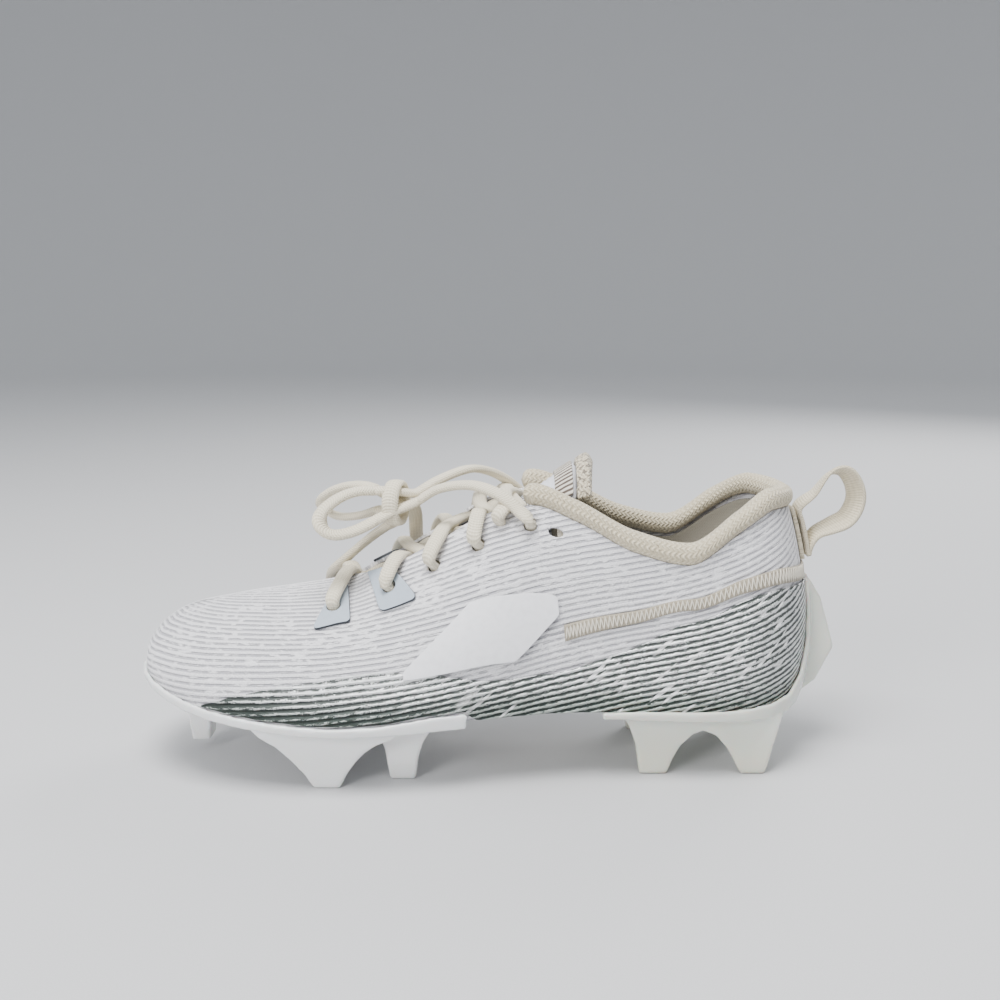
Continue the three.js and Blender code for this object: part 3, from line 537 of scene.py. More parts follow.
def strap(path: Array, wide: float | Array, thick: float, around: int, closed: bool = False,
          square: float = 1.0, hint: Array | None = None, rounded: bool = True) -> bmesh.types.BMesh:
    """A flat cord or strap laid along a path, its broad side turned to the boot.

    Args:
        path: points in millimetres.
        wide: width, or one width a point.
        thick: thickness.
        around: cells round the section.
        closed: whether the path is a ring.
        square: section power, 1 an oval, below 1 squarer.
        hint: direction that the broad side faces, one a point, or None for away from the boot.
        rounded: whether the open ends close in a dome.

    Returns:
        The mesh.
    """
    ahead = np.roll(path, -1, 0) - np.roll(path, 1, 0)
    if not closed:
        ahead[0], ahead[-1] = path[1] - path[0], path[-1] - path[-2]
    forward = unit(ahead)
    if hint is None:
        hint = unit(stack(0 * path[:, 0] - 0.1, (path[:, 1] - BOOT.mid_y) * 0.8, path[:, 2] - 40))
    broad = np.cross(forward, hint)
    for i in range(1, len(broad)):
        if np.dot(broad[i], broad[i - 1]) < 0:
            broad[i] = -broad[i]
    for _ in range(4):
        near = broad.copy()
        if closed:
            near += 0.5 * (np.roll(broad, 1, 0) + np.roll(broad, -1, 0))
        else:
            near[1:-1] += 0.5 * (broad[:-2] + broad[2:])
        broad = near / 2
    broad = unit(broad - forward * np.sum(broad * forward, axis=1, keepdims=True))
    up = np.cross(broad, forward)
    wide = np.broadcast_to(np.asarray(wide, float), (len(path),))
    if closed:
        path, broad, up, wide = (np.concatenate([a, a[:1]]) for a in (path, broad, up, wide))
    run = lengths(path[:, None, :], 0)[:, 0]
    taper = np.ones(len(path))
    if rounded and not closed:
        taper = dome(np.minimum(run, run[-1] - run) / (thick * 0.7))
    angle = np.linspace(0, 2 * np.pi, around + 1)
    c, s = squared(np.cos(angle), square), squared(np.sin(angle), square)
    half = (wide * taper / 2)[:, None, None]
    points = path[:, None] + broad[:, None] * c[None, :, None] * half
    points = points + up[:, None] * (s * thick / 2)[None, :, None] * taper[:, None, None]
    across = np.broadcast_to(np.linspace(0, 2 * (np.max(wide) + thick) * 0.8, around + 1), points.shape[:2])
    bm = mapped_grid(points, run, across)
    if not closed and not rounded:
        bmesh.ops.holes_fill(bm, edges=[e for e in bm.edges if e.is_boundary], sides=around + 1)
    bmesh.ops.recalc_face_normals(bm, faces=bm.faces)
    return bm


# ---------------------------------------------------------------- finishes


class Graph:
    """A short way of wiring one material."""

    def __init__(self, name: str) -> None:
        """Starts a material with a Principled shader."""
        self.material = bpy.data.materials.new(name)
        self.material.use_nodes = True
        self.tree = self.material.node_tree
        self.shader = self.tree.nodes["Principled BSDF"]

    def node(self, kind: str, **settings: object) -> bpy.types.Node:
        """Adds a node and sets its own properties."""
        made = self.tree.nodes.new(kind)
        for key, value in settings.items():
            setattr(made, key, value)
        return made

    def put(self, source: object, socket: bpy.types.NodeSocket) -> None:
        """Links an output, or sets a plain value."""
        if isinstance(source, bpy.types.NodeSocket):
            self.tree.links.new(source, socket)
        else:
            socket.default_value = source

    def math(self, operation: str, a: object, b: object = 0.0, c: object = 0.0) -> bpy.types.NodeSocket:
        """A Math node's result."""
        made = self.node("ShaderNodeMath", operation=operation)
        for source, socket in zip((a, b, c), made.inputs):
            self.put(source, socket)
        return made.outputs[0]

    def ramp(self, value: object, low: float, high: float) -> bpy.types.NodeSocket:
        """Value carried from low..high to 0..1, clamped and eased."""
        made = self.node("ShaderNodeMapRange", interpolation_type="SMOOTHSTEP")
        self.put(value, made.inputs[0])
        made.inputs[1].default_value = low
        made.inputs[2].default_value = high
        return made.outputs[0]

    def mix(self, share: object, a: object, b: object) -> bpy.types.NodeSocket:
        """Colour a turning into colour b."""
        made = self.node("ShaderNodeMix", data_type="RGBA")
        self.put(share, made.inputs[0])
        for source, socket in ((a, made.inputs[6]), (b, made.inputs[7])):
            self.put((*source, 1.0) if isinstance(source, tuple) else source, socket)
        return made.outputs[2]

    def uv(self) -> tuple[bpy.types.NodeSocket, bpy.types.NodeSocket]:
        """The piece's own millimetre map, along and across."""
        split = self.node("ShaderNodeSeparateXYZ")
        self.put(self.node("ShaderNodeUVMap", uv_map="UVMap").outputs[0], split.inputs[0])
        return split.outputs[0], split.outputs[1]

    def place(self) -> bpy.types.NodeSocket:
        """Object coordinates in millimetres."""
        scale = self.node("ShaderNodeVectorMath", operation="SCALE")
        self.put(self.node("ShaderNodeTexCoord").outputs["Object"], scale.inputs[0])
        scale.inputs["Scale"].default_value = 1000.0
        return scale.outputs[0]

    def pair(self, x: object, y: object, z: object = 0.0) -> bpy.types.NodeSocket:
        """A vector from three values."""
        made = self.node("ShaderNodeCombineXYZ")
        for source, socket in zip((x, y, z), made.inputs):
            self.put(source, socket)
        return made.outputs[0]

    def stretch(self, vector: object, share: tuple) -> bpy.types.NodeSocket:
        """A vector with each part multiplied."""
        made = self.node("ShaderNodeVectorMath", operation="MULTIPLY")
        self.put(vector, made.inputs[0])
        made.inputs[1].default_value = share
        return made.outputs[0]

    def noise(self, vector: object, scale: float, detail: float = 2.0,
              rough: float = 0.5) -> bpy.types.NodeSocket:
        """A noise value about a half."""
        made = self.node("ShaderNodeTexNoise")
        self.put(vector, made.inputs["Vector"])
        made.inputs["Scale"].default_value = scale
        made.inputs["Detail"].default_value = detail
        made.inputs["Roughness"].default_value = rough
        return made.outputs[0]

    def wave(self, value: object, pitch: float) -> bpy.types.NodeSocket:
        """A wave from 0 to 1 with its crest every pitch."""
        turned = self.math("MULTIPLY", value, 2 * math.pi / pitch)
        return self.math("MULTIPLY_ADD", self.math("COSINE", turned), 0.5, 0.5)

    def rib_rows(self, along: object, across: object) -> bpy.types.NodeSocket:
        """The row measure of rib_rows(), for the same pattern in a material."""
        slow = self.math("MULTIPLY_ADD", across, 1 / 19, self.math("DIVIDE", along, 23.0))
        sway = self.math("MULTIPLY", self.math("SINE", slow), RIB_SWAY)
        rows = self.math("ADD", across, sway)
        for climb, place, ease, way in RIB_BENDS:
            past = self.math("MULTIPLY_ADD", along, way, -place * way)
            reach = self.math("SQRT", self.math("MULTIPLY_ADD", past, past, ease ** 2))
            rows = self.math("MULTIPLY_ADD", self.math("ADD", reach, past), -climb, rows)
        return rows

    def bump(self, height: object, depth: float) -> None:
        """Raises the surface by a height from 0 to 1 times depth, in millimetres."""
        made = self.node("ShaderNodeBump")
        made.inputs["Strength"].default_value = 1.0
        made.inputs["Distance"].default_value = depth * MM
        self.put(height, made.inputs["Height"])
        self.put(made.outputs[0], self.shader.inputs["Normal"])

    def set(self, **values: object) -> None:
        """Sets or links the shader's own sockets, named with _ for a space."""
        for key, value in values.items():
            if isinstance(value, tuple) and len(value) == 3 and key != "Subsurface_Radius":
                value = (*value, 1.0)
            self.put(value, self.shader.inputs[key.replace("_", " ")])


@dataclass(frozen=True)
class KnitFinish:
    """Ribbed engineered knit: rows of raised broken stitches, with painted shade in the grooves between the
    ribs.
    """

    name: str = "ribbed_knit"
    high: tuple = (0.95, 0.94, 0.96)
    # The low colour is painted shade: the grey-lilac of the grooves between the ribs.
    low: tuple = (0.40, 0.39, 0.44)
    pitch: float = RIB_PITCH
    stitch: float = 1.5

    def build(self) -> bpy.types.Material:
        """Makes the material."""
        g = Graph(self.name)
        along, across = g.uv()
        rows = g.rib_rows(along, across)
        rib = g.ramp(g.wave(rows, self.pitch), 0.05, 0.62)
        row = g.math("FLOOR", g.math("DIVIDE", rows, self.pitch))
        shift = g.math("MULTIPLY", row, 0.61 * self.stitch)
        dash = g.wave(g.math("ADD", along, shift), self.stitch)
        flick = g.noise(g.pair(g.math("MULTIPLY", along, 0.28), rows), 0.75, 3.0, 0.65)
        cloud = g.noise(g.pair(along, across), 0.06, 2.0)
        grain = g.noise(g.pair(along, across), 2.2, 3.0, 0.6)
        broken = g.math("MULTIPLY", rib, g.math("MULTIPLY_ADD", dash, 0.22, 0.78))
        filled = g.ramp(g.math("MULTIPLY_ADD", cloud, 0.35, flick), 0.62, 0.78)
        shade = g.math("MAXIMUM", broken, g.math("MULTIPLY", filled, 0.85))
        height = g.math("MULTIPLY_ADD", grain, 0.45, g.math("MULTIPLY_ADD", flick, 0.3, shade))
        # The tone turns to the low colour in the grooves: painted shade between the raised stitches.
        tone = g.math("MULTIPLY_ADD", grain, 0.45, g.math("MULTIPLY", shade, 0.72))
        g.set(Base_Color=g.mix(tone, self.low, self.high), Roughness=0.62, Sheen_Weight=0.15)
        g.bump(height, 0.85)
        return g.material


@dataclass(frozen=True)
class FoilFinish:
    """Metallised film over the ribs: silver crests broken by painted shade and dark reflection in the
    furrows, painted shade darker towards the sole, pale worn strokes.
    """

    name: str = "silver_film"
    bright: tuple = (0.88, 0.89, 0.89)
    # The dark colour is painted shade and painted dark reflection in the furrows between the silver crests.
    dark: tuple = (0.10, 0.11, 0.105)
    # The next two colours are the silver and the furrow colour in painted shade, used towards the sole.
    shaded_silver: tuple = (0.42, 0.46, 0.43)
    shaded_furrow: tuple = (0.04, 0.05, 0.045)
    stroke: tuple = (0.90, 0.90, 0.90)
    pitch: float = RIB_PITCH

    def build(self) -> bpy.types.Material:
        """Makes the material."""
        g = Graph(self.name)
        along, across = g.uv()
        rows = g.rib_rows(along, across)
        wave = g.wave(rows, self.pitch)
        chop = g.noise(g.pair(g.math("MULTIPLY", along, 0.24), rows), 1.1, 3.0, 0.65)
        # Noise that breaks the crest lines into painted glints and spots of painted shade; it also places the
        # worn strokes.
        glint_noise = g.noise(g.pair(along, across), 1.7, 3.0, 0.6)
        crest = g.math("MULTIPLY_ADD", g.math("SUBTRACT", chop, 0.5), 2.6, wave)
        crest = g.math("MULTIPLY_ADD", g.math("SUBTRACT", glint_noise, 0.5), 1.5, crest)
        front = g.math("SUBTRACT", 1.0, g.ramp(along, 110.0, 190.0))
        high = g.math("SUBTRACT", g.ramp(across, 5.0, 20.0), 0.55)
        crest = g.math("MULTIPLY_ADD", g.math("MULTIPLY", front, high), 0.75, crest)
        lit = g.ramp(crest, 0.42, 0.66)
        # Painted shade, growing towards the sole.
        foot = g.math("SUBTRACT", 1.0, g.ramp(across, 3.0, 17.0))
        slant = g.pair(g.math("MULTIPLY_ADD", across, -1.1, along),
                       g.math("MULTIPLY_ADD", along, 0.25, across))
        strokes = g.noise(g.stretch(slant, (0.34, 0.05, 1.0)), 1.0, 0.0)
        cloud = g.noise(g.pair(along, across), 0.05, 1.0)
        worn = g.math("MULTIPLY", g.ramp(strokes, 0.67, 0.71), g.ramp(cloud, 0.46, 0.54))
        rear = g.ramp(along, 130.0, 190.0)
        worn = g.math("MULTIPLY", worn, g.math("MULTIPLY", g.ramp(glint_noise, 0.3, 0.45), rear))
        # Silver on the lit crests, painted shade in the furrows, and both in deeper painted shade towards the
        # sole.
        colour = g.mix(lit, g.mix(foot, self.dark, self.shaded_furrow), g.mix(foot, self.bright, self.shaded_silver))
        g.set(Base_Color=g.mix(worn, colour, self.stroke), Metallic=g.math("MULTIPLY_ADD", worn, -0.8, 0.92),
              Roughness=g.math("MULTIPLY_ADD", chop, 0.3, 0.18))
        g.bump(g.math("ADD", wave, g.math("MULTIPLY", g.math("ADD", chop, glint_noise), 0.7)), 0.55)
        return g.material


@dataclass(frozen=True)
class FilmFinish:
    """Smooth film with the knit faintly showing through."""

    name: str
    colour: tuple
    rough: float = 0.42
    relief: float = 0.12

    def build(self) -> bpy.types.Material:
        """Makes the material."""
        g = Graph(self.name)
        along, across = g.uv()
        pebble = g.noise(g.pair(along, across), 0.35, 3.0)
        fine = g.noise(g.pair(along, across), 3.0, 1.0)
        g.set(Base_Color=g.mix(g.ramp(pebble, 0.35, 0.75), self.colour, tuple(0.94 * c for c in self.colour)),
              Roughness=g.math("MULTIPLY_ADD", fine, 0.15, self.rough))
        g.bump(g.math("ADD", pebble, g.math("MULTIPLY", fine, 0.15)), self.relief)
        return g.material


@dataclass(frozen=True)
class ClothFinish:
    """Fine knit or weave with flecks, its stitches as small V rows."""

    name: str
    colour: tuple
    shade: tuple
    pitch: float = 1.3
    depth: float = 0.3
    flecks: float = 0.0
    fleck: tuple = (0.3, 0.26, 0.2)
    sheen: float = 0.3

    def build(self) -> bpy.types.Material:
        """Makes the material."""
        g = Graph(self.name)
        along, across = g.uv()
        column = g.wave(across, self.pitch)
        part = g.math("FRACT", g.math("DIVIDE", across, self.pitch))
        lean = g.math("ABSOLUTE", g.math("SUBTRACT", part, 0.5))
        row = g.wave(g.math("MULTIPLY_ADD", lean, self.pitch, along), self.pitch * 0.75)
        tuft = g.noise(g.pair(along, across), 1.6, 3.0, 0.6)
        height = g.math("MULTIPLY", g.math("MULTIPLY_ADD", column, 0.5, 0.5), row)
        height = g.math("ADD", g.math("MULTIPLY", height, 0.8), g.math("MULTIPLY", tuft, 0.4))
        tone = g.math("MULTIPLY_ADD", tuft, 0.5, g.math("MULTIPLY", height, 0.65))
        colour = g.mix(tone, self.shade, self.colour)
        if self.flecks:
            dots = g.noise(g.pair(g.math("MULTIPLY", along, 0.7), across), 0.85, 2.0, 0.7)
            colour = g.mix(g.ramp(dots, 0.62 - self.flecks, 0.7 - self.flecks), colour, self.fleck)
        g.set(Base_Color=colour, Roughness=0.85, Sheen_Weight=self.sheen)
        g.bump(height, self.depth)
        return g.material


@dataclass(frozen=True)
class StripeFinish:
    """Ribbed knit in two colours, its stripes running along the piece."""

    name: str
    light: tuple
    dark: tuple
    pitch: float

    def build(self) -> bpy.types.Material:
        """Makes the material."""
        g = Graph(self.name)
        along, across = g.uv()
        shake = g.noise(g.pair(g.math("MULTIPLY", along, 0.3), across), 0.8, 2.0)
        wave = g.wave(g.math("MULTIPLY_ADD", g.math("SUBTRACT", shake, 0.5), 0.5, across), self.pitch)
        stitch = g.wave(along, 1.1)
        shade = g.ramp(wave, 0.35, 0.65)
        tuft = g.noise(g.pair(along, across), 2.2, 2.0)
        light = g.mix(tuft, tuple(0.8 * c for c in self.light), self.light)
        g.set(Base_Color=g.mix(shade, self.dark, light), Roughness=0.85, Sheen_Weight=0.2)
        g.bump(g.math("MULTIPLY", wave, g.math("MULTIPLY_ADD", stitch, 0.4, 0.6)), 0.4)
        return g.material


@dataclass(frozen=True)
class PlateFinish:
    """Gloss moulded plastic, faintly milky, with scuffs low on the studs and painted shade darker towards the
    ground.
    """

    name: str
    colour: tuple
    # The low colour is painted shade: what the plate turns to low on the studs, near the ground.
    low: tuple
    milky: float = 0.12

    def build(self) -> bpy.types.Material:
        """Makes the material."""
        g = Graph(self.name)
        where = g.place()
        split = g.node("ShaderNodeSeparateXYZ")
        g.put(where, split.inputs[0])
        haze = g.noise(where, 0.05, 3.0)
        scratch = g.noise(where, 1.4, 4.0, 0.7)
        # Grows towards the ground: painted shade in the colour, scuffs in the roughness.
        foot = g.math("SUBTRACT", 1.0, g.ramp(split.outputs[2], 1.0, 26.0))
        tone = g.math("MULTIPLY_ADD", haze, 0.35, g.math("MULTIPLY", foot, 0.55))
        scuff = g.math("MULTIPLY", g.ramp(scratch, 0.5, 0.75), g.math("MULTIPLY_ADD", foot, 0.5, 0.12))
        g.set(Base_Color=g.mix(tone, self.colour, self.low),
              Roughness=g.math("MULTIPLY_ADD", scuff, 0.4, 0.16),
              Subsurface_Weight=self.milky, Subsurface_Scale=0.004, Coat_Weight=0.4, Coat_Roughness=0.12)
        g.bump(g.math("ADD", g.math("MULTIPLY", haze, 0.8), g.math("MULTIPLY", scratch, 0.1)), 0.15)
        return g.material


@dataclass(frozen=True)
class LaceFinish:
    """Flat woven lace: slanting yarns from both edges to the middle."""

    name: str = "woven_lace"
    colour: tuple = (0.90, 0.84, 0.68)
    shade: tuple = (0.52, 0.45, 0.31)

    def build(self) -> bpy.types.Material:
        """Makes the material."""
        g = Graph(self.name)
        along, across = g.uv()
        fold = g.math("ABSOLUTE", g.math("SINE", g.math("MULTIPLY", across, 0.42)))
        yarn = g.wave(g.math("MULTIPLY_ADD", fold, 1.6, along), 1.15)
        cross = g.wave(across, 0.9)
        fuzz = g.noise(g.pair(along, across), 2.4, 3.0)
        height = g.math("MULTIPLY_ADD", yarn, 0.6, g.math("MULTIPLY", cross, 0.3))
        tone = g.math("MULTIPLY_ADD", fuzz, 0.55, g.math("MULTIPLY", height, 0.6))
        g.set(Base_Color=g.mix(tone, self.shade, self.colour), Roughness=0.82, Sheen_Weight=0.3)
        g.bump(g.math("MULTIPLY_ADD", fuzz, 0.3, height), 0.28)
        return g.material


@dataclass(frozen=True)
class PlainFinish:
    """A smooth even plastic or thread with a little grain."""

    name: str
    colour: tuple
    rough: float = 0.5
    grain: float = 0.05

    def build(self) -> bpy.types.Material:
        """Makes the material."""
        g = Graph(self.name)
        fine = g.noise(g.place(), 1.8, 3.0)
        g.set(Base_Color=g.mix(fine, tuple(0.82 * c for c in self.colour), self.colour),
              Roughness=g.math("MULTIPLY_ADD", fine, 0.2, self.rough - 0.1))
        g.bump(fine, self.grain)
        return g.material


@dataclass
class Finishes:
    """Every material, made once."""

    def __post_init__(self) -> None:
        """Builds them all."""
        self.knit = KnitFinish().build()
        self.foil = FoilFinish().build()
        self.panel = FilmFinish("panel_film", (0.88, 0.88, 0.91)).build()
        self.panel_edge = PlainFinish("panel_cut_edge", (0.42, 0.44, 0.48), 0.5).build()
        self.tab = FilmFinish("tab_film", (0.40, 0.46, 0.53), 0.5, 0.04).build()
        self.tab_edge = PlainFinish("tab_cut_edge", (0.035, 0.04, 0.05), 0.6).build()
        self.thread = PlainFinish("seam_thread", (0.80, 0.75, 0.64), 0.75, 0.1).build()
        self.tape = ClothFinish("seam_band", (0.52, 0.46, 0.36), (0.3, 0.26, 0.19), 1.2, 0.25).build()
        self.collar = ClothFinish("cream_knit", (0.80, 0.72, 0.54), (0.36, 0.29, 0.17), 2.8, 0.6, 0.03,
                                  (0.36, 0.3, 0.2)).build()
        self.binding = ClothFinish("flecked_knit", (0.80, 0.73, 0.57), (0.42, 0.34, 0.22), 2.2, 0.5, 0.12,
                                   (0.2, 0.17, 0.13)).build()
        self.lining = ClothFinish("lining_knit", (0.50, 0.46, 0.38), (0.28, 0.25, 0.19), 1.6, 0.25).build()
        self.foam = ClothFinish("insole_cloth", (0.30, 0.31, 0.33), (0.16, 0.17, 0.18), 1.2, 0.2).build()
        self.board = ClothFinish("sole_board", (0.62, 0.60, 0.55), (0.4, 0.38, 0.33), 2.0, 0.25).build()
        self.plate = PlateFinish("front_plate", (0.84, 0.85, 0.85), (0.80, 0.80, 0.78)).build()
        # Rear plate: its grey-green milky tint is its own, but it is set darker than the front plate as
        # painted shade, darker and creamier still towards the ground.
        self.heel = PlateFinish("rear_plate", (0.70, 0.73, 0.67), (0.66, 0.64, 0.52), 0.3).build()
        self.tongue = FilmFinish("tongue_film", (0.72, 0.73, 0.79), 0.55, 0.2).build()
        self.tongue_rib = StripeFinish("tongue_rib", (0.72, 0.71, 0.72), (0.05, 0.05, 0.055), 2.6).build()
        self.band = StripeFinish("band_rib", (0.78, 0.73, 0.64), (0.10, 0.075, 0.06), 1.9).build()
        self.lace = LaceFinish().build()
        self.webbing = LaceFinish("loop_webbing", (0.82, 0.75, 0.58), (0.46, 0.39, 0.26)).build()
        self.tip = PlainFinish("lace_tip", (0.82, 0.80, 0.74), 0.25, 0.01).build()


# ---------------------------------------------------------------- camera, light and floor


@dataclass
class Studio:
    """The camera, the plain floor and soft light."""

    eye: tuple = (0.00112, -0.4615, 0.197)
    pitch: float = 10.305
    lens: float = 39.6

    def camera(self) -> None:
        """Places the camera on the outer side, a little above the boot."""
        data = bpy.data.cameras.new("camera")
        data.lens, data.sensor_width = self.lens, 36.0
        data.clip_start = 0.01
        eye = bpy.data.objects.new("camera", data)
        eye.location = self.eye
        eye.rotation_euler = (math.radians(90 - self.pitch), 0, 0)
        bpy.context.scene.collection.objects.link(eye)
        bpy.context.scene.camera = eye

    def lamp(self, name: str, place: tuple, aim: tuple, size: float, power: float) -> None:
        """Adds one soft square lamp turned to a point."""
        data = bpy.data.lights.new(name, "AREA")
        data.size, data.energy = size, power
        lamp = bpy.data.objects.new(name, data)
        lamp.location = place
        lamp.rotation_euler = (Vector(aim) - Vector(place)).to_track_quat("-Z", "Y").to_euler()
        bpy.context.scene.collection.objects.link(lamp)

    def build(self) -> None:
        """Makes the floor, its curved backdrop, the sky and the lamps."""
        turn = np.linspace(0, math.pi / 2, 13)
        flat, bend, height = 2.6, 1.6, 3.4
        curve = zip(flat + bend * np.sin(turn), bend - bend * np.cos(turn))
        profile = [(0, 0), (0.6, 0), (1.6, 0), *curve, (flat + bend, height)]
        bm = bmesh.new()
        line = [bm.verts.new((x, 0, z)) for x, z in profile]
        edges = [bm.edges.new(pair) for pair in zip(line, line[1:])]
        bmesh.ops.spin(bm, geom=line + edges, cent=(0, 0, 0), axis=(0, 0, 1), angle=2 * math.pi, steps=96,
                       use_merge=True)
        bmesh.ops.remove_doubles(bm, verts=bm.verts, dist=1e-6)
        bmesh.ops.recalc_face_normals(bm, faces=bm.faces)
        for face in bm.faces:
            face.smooth = True
        floor = make("floor", bm, PlainFinish("floor_card", (0.62, 0.62, 0.63), 0.85, 0.0).build())
        world = bpy.data.worlds.new("sky")
        world.use_nodes = True
        world.node_tree.nodes["Background"].inputs[0].default_value = (0.80, 0.84, 0.88, 1)
        world.node_tree.nodes["Background"].inputs[1].default_value = 1.0
        bpy.context.scene.world = world
        self.lamp("over", (-0.15, -0.35, 1.25), (0, 0, 0.05), 0.6, 26)
        self.lamp("front", (-0.8, -1.1, 0.65), (0, 0, 0.05), 0.5, 14)
        self.lamp("behind", (0.7, 1.0, 0.8), (0, 0, 0.06), 0.7, 12)


# ---------------------------------------------------------------- lace


@dataclass
class Lace:
    """The flat lace: its held run, the bow, its tails and tips."""

    wide: float = 6.3
    thick: float = 3.6
    cells: int = 16
    over: float = TAB + GAP + LACE / 2 + 0.7
    under: float = KNIT + LACE / 2 + 0.7
    lay: float = 2 * (GAP + FILM) + LACE / 2 + 1
    tip_long: float = 18.0
    loop_outer: tuple = ((-51.2, -8.5, 118), (-60, -12, 118.5), (-69, -16, 115), (-75, -20, 108.5),
                         (-71, -21.5, 102), (-61, -18, 102.5), (-50.6, -12.6, 107))
    loop_inner: tuple = ((-51.4, -2.5, 117.5), (-60, 2, 119), (-72, 7, 116), (-79, 12, 109),
                         (-74, 15, 103), (-62, 9, 104), (-50.8, 0.6, 109))

    def edge(self, k: float, side: Side, d: float) -> Array:
        """A point over the throat's edge."""
        return spot(k, 0.985, side, d)

    def half(self, first: Side, high: bool) -> list[Array]:
        """One half of the lacing, from under the first eyelet to above the last.

        Args:
            first: the side it starts on.
            high: whether it passes over the other half.

        Returns:
            Its points.
        """
        out, side = [], first
        other = {Side.OUTER: Side.INNER, Side.INNER: Side.OUTER}
        for i, (k, w) in enumerate(EYELETS):
            out += [spot(k, w, side, -self.under), spot(k, w, side, 0.8), spot(k, w, side, self.over + 0.4)]
            if i < len(EYELETS) - 1:
                after = EYELETS[i + 1][0]
                a = self.edge(k * 0.75 + after * 0.25, side, LACE / 2 + 1.4)
                b = self.edge(k * 0.22 + after * 0.78, other[side], -self.under)
                mid = (a + b) / 2
                if w < 0.8:
                    out.append(spot(k + 0.12, 0.84, side, self.over))
                rest = tongue_top(mid[0], mid[1], LACE / 2 + GAP + (LACE + 1.1 if high else 0.6))
                out += [a, rest, b]
                side = other[side]
        return out

    def held_path(self) -> Array:
        """The whole held run, from the knot through the eyelets and back to the knot."""
        left, right = self.half(Side.OUTER, True), self.half(Side.INNER, False)
        front = tongue_top(left[0][0], 2.0, LACE / 2 + GAP + 0.6)
        lead_a = [(-35.4, -2.6, 116), (-26, 3, 121), (-13, 11, 124.5), (-4, 18.5, 122), (3, 24, 117.5),
                  (7.5, 27.5, 113)]
        lead_b = [(7.5, -24.5, 113), (3, -22, 116.5), (-4, -18.5, 120), (-13, -14, 121.5), (-26, -10, 119),
                  (-35.4, -8.4, 113)]
        return curve_through([*lead_a, *left[::-1], front, *right, *lead_b], 420)

    def tail_a(self) -> Array:
        """The tail that lies on the inner side, nearer the heel."""
        rest = [spot(k, w, Side.INNER, self.lay + 0.8) for k, w in
                ((6.56, 0.84), (6.6, 0.66), (6.55, 0.5), (6.5, 0.36))]
        return np.array([(-38.6, 3, 111), (-37.5, 12, 106), *rest])

    def tail_b(self) -> Array:
        """The tail that lies on the inner side, nearer the toe."""
        rest = [spot(k, w, Side.INNER, self.lay) for k, w in
                ((4.75, 0.82), (4.6, 0.64), (4.45, 0.5), (4.3, 0.38))]
        return np.array([(-45, 0.6, 103.5), (-56, 9, 95), *rest])

    def free(self, name: str, rough: Array, finish: bpy.types.Material, far: str,
             pieces: Sequence[bpy.types.Object] = ()) -> None:
        """Args:
            name: piece and node name.
            rough: given points.
            finish: its material.
            far: what its far end is; not used.
            pieces: pieces on it; not used.
        """
        path = curve_through(rough, 60)
        for _ in range(14):
            path[1:-1] = (path[:-2] + path[1:-1] * 2 + path[2:]) / 4
        woven = strap(path, self.wide, self.thick, self.cells, square=0.8)
        obj = settle(make(name + "_woven", woven, finish), Body.BOOT, "lace", name)

    def tip(self, name: str, rough: Array, finish: bpy.types.Material) -> bpy.types.Object:
        """The pressed tip at a tail's end."""
        end = rough[-1]
        ahead = unit(rough[-1] - rough[-2])
        run = np.linspace(-0.4, self.tip_long + 0.5, 27)[:, None]
        crimp = 3.5 - 0.25 * (np.abs(run[:, 0] - 2.5) < 0.8) - 0.5 * np.clip((run[:, 0] - 15) / 3.5, 0, 1)
        bm = strap(end + ahead * (run + 0.1), crimp, 3.1, 16)
        return settle(make(name + "_tip", bm, finish), Body.BOOT, "aglet", name)

    def knot(self, finish: bpy.types.Material) -> None:
        """The knot: four strands drawn through one wrapped turn."""
        strands = [
            [(-54, -9.5, 118.3), (-44, -7.2, 117.8), (-36, -2.9, 116.1), (-32.5, -0.9, 117.6)],
            [(-53.6, -14, 105.6), (-44, -10, 110), (-36, -8.4, 112.9), (-32.5, -8.8, 114.8)],
            [(-54, -1.2, 118), (-45, -2, 113.5), (-38.6, 3, 111), (-37.8, 9, 107.8)],
            [(-54, 3, 107.5), (-46.5, -1.5, 107.5), (-45, 0.6, 103.5), (-50, 4.5, 99.5)],
        ]
        turn = np.linspace(0, 2 * np.pi, 49)[:-1]
        lean = np.cos(turn) * 2.0
        ring = stack(-44 + lean, -5.6 + 6.6 * np.cos(turn), 112.5 + 8.4 * np.sin(turn))
        out = unit(stack(0 * turn, 6.3 * np.cos(turn), 7.9 * np.sin(turn)))
        whole = strap(ring, 7.0, self.thick * 0.85, self.cells, closed=True, square=0.8, hint=out)
        for path in strands:
            join_into(whole, strap(curve_through(path, 24), self.wide, self.thick, self.cells, square=0.8))
        settle(make("lace_knot_turns", whole, finish), Body.BOOT, "lace", "lace_knot")

    def build(self, finishes: Finishes) -> None:
        """Makes the held run, the bow, the tails and the tips."""
        path = self.held_path()
        near = np.min([np.linalg.norm(path - spot(k, w, side, 0.0), axis=1)
                       for k, w in EYELETS for side in Side], axis=0)
        wide = self.wide - 1.5 * np.exp(-(near / 3.5) ** 2)
        bm = strap(path, wide, self.thick, self.cells, square=0.8)
        settle(make("lacing_woven", bm, finishes.lace), Body.BOOT, "lace", "lacing")
        self.knot(finishes.lace)
        self.free("bow_loop_outer", np.array(self.loop_outer), finishes.lace, "object")
        self.free("bow_loop_inner", np.array(self.loop_inner), finishes.lace, "object")
        for letter, rough in (("a", self.tail_a()), ("b", self.tail_b())):
            end = self.tip(f"aglet_{letter}", rough, finishes.tip)
            self.free(f"lace_tail_{letter}", rough, finishes.lace, "fitting", [end])


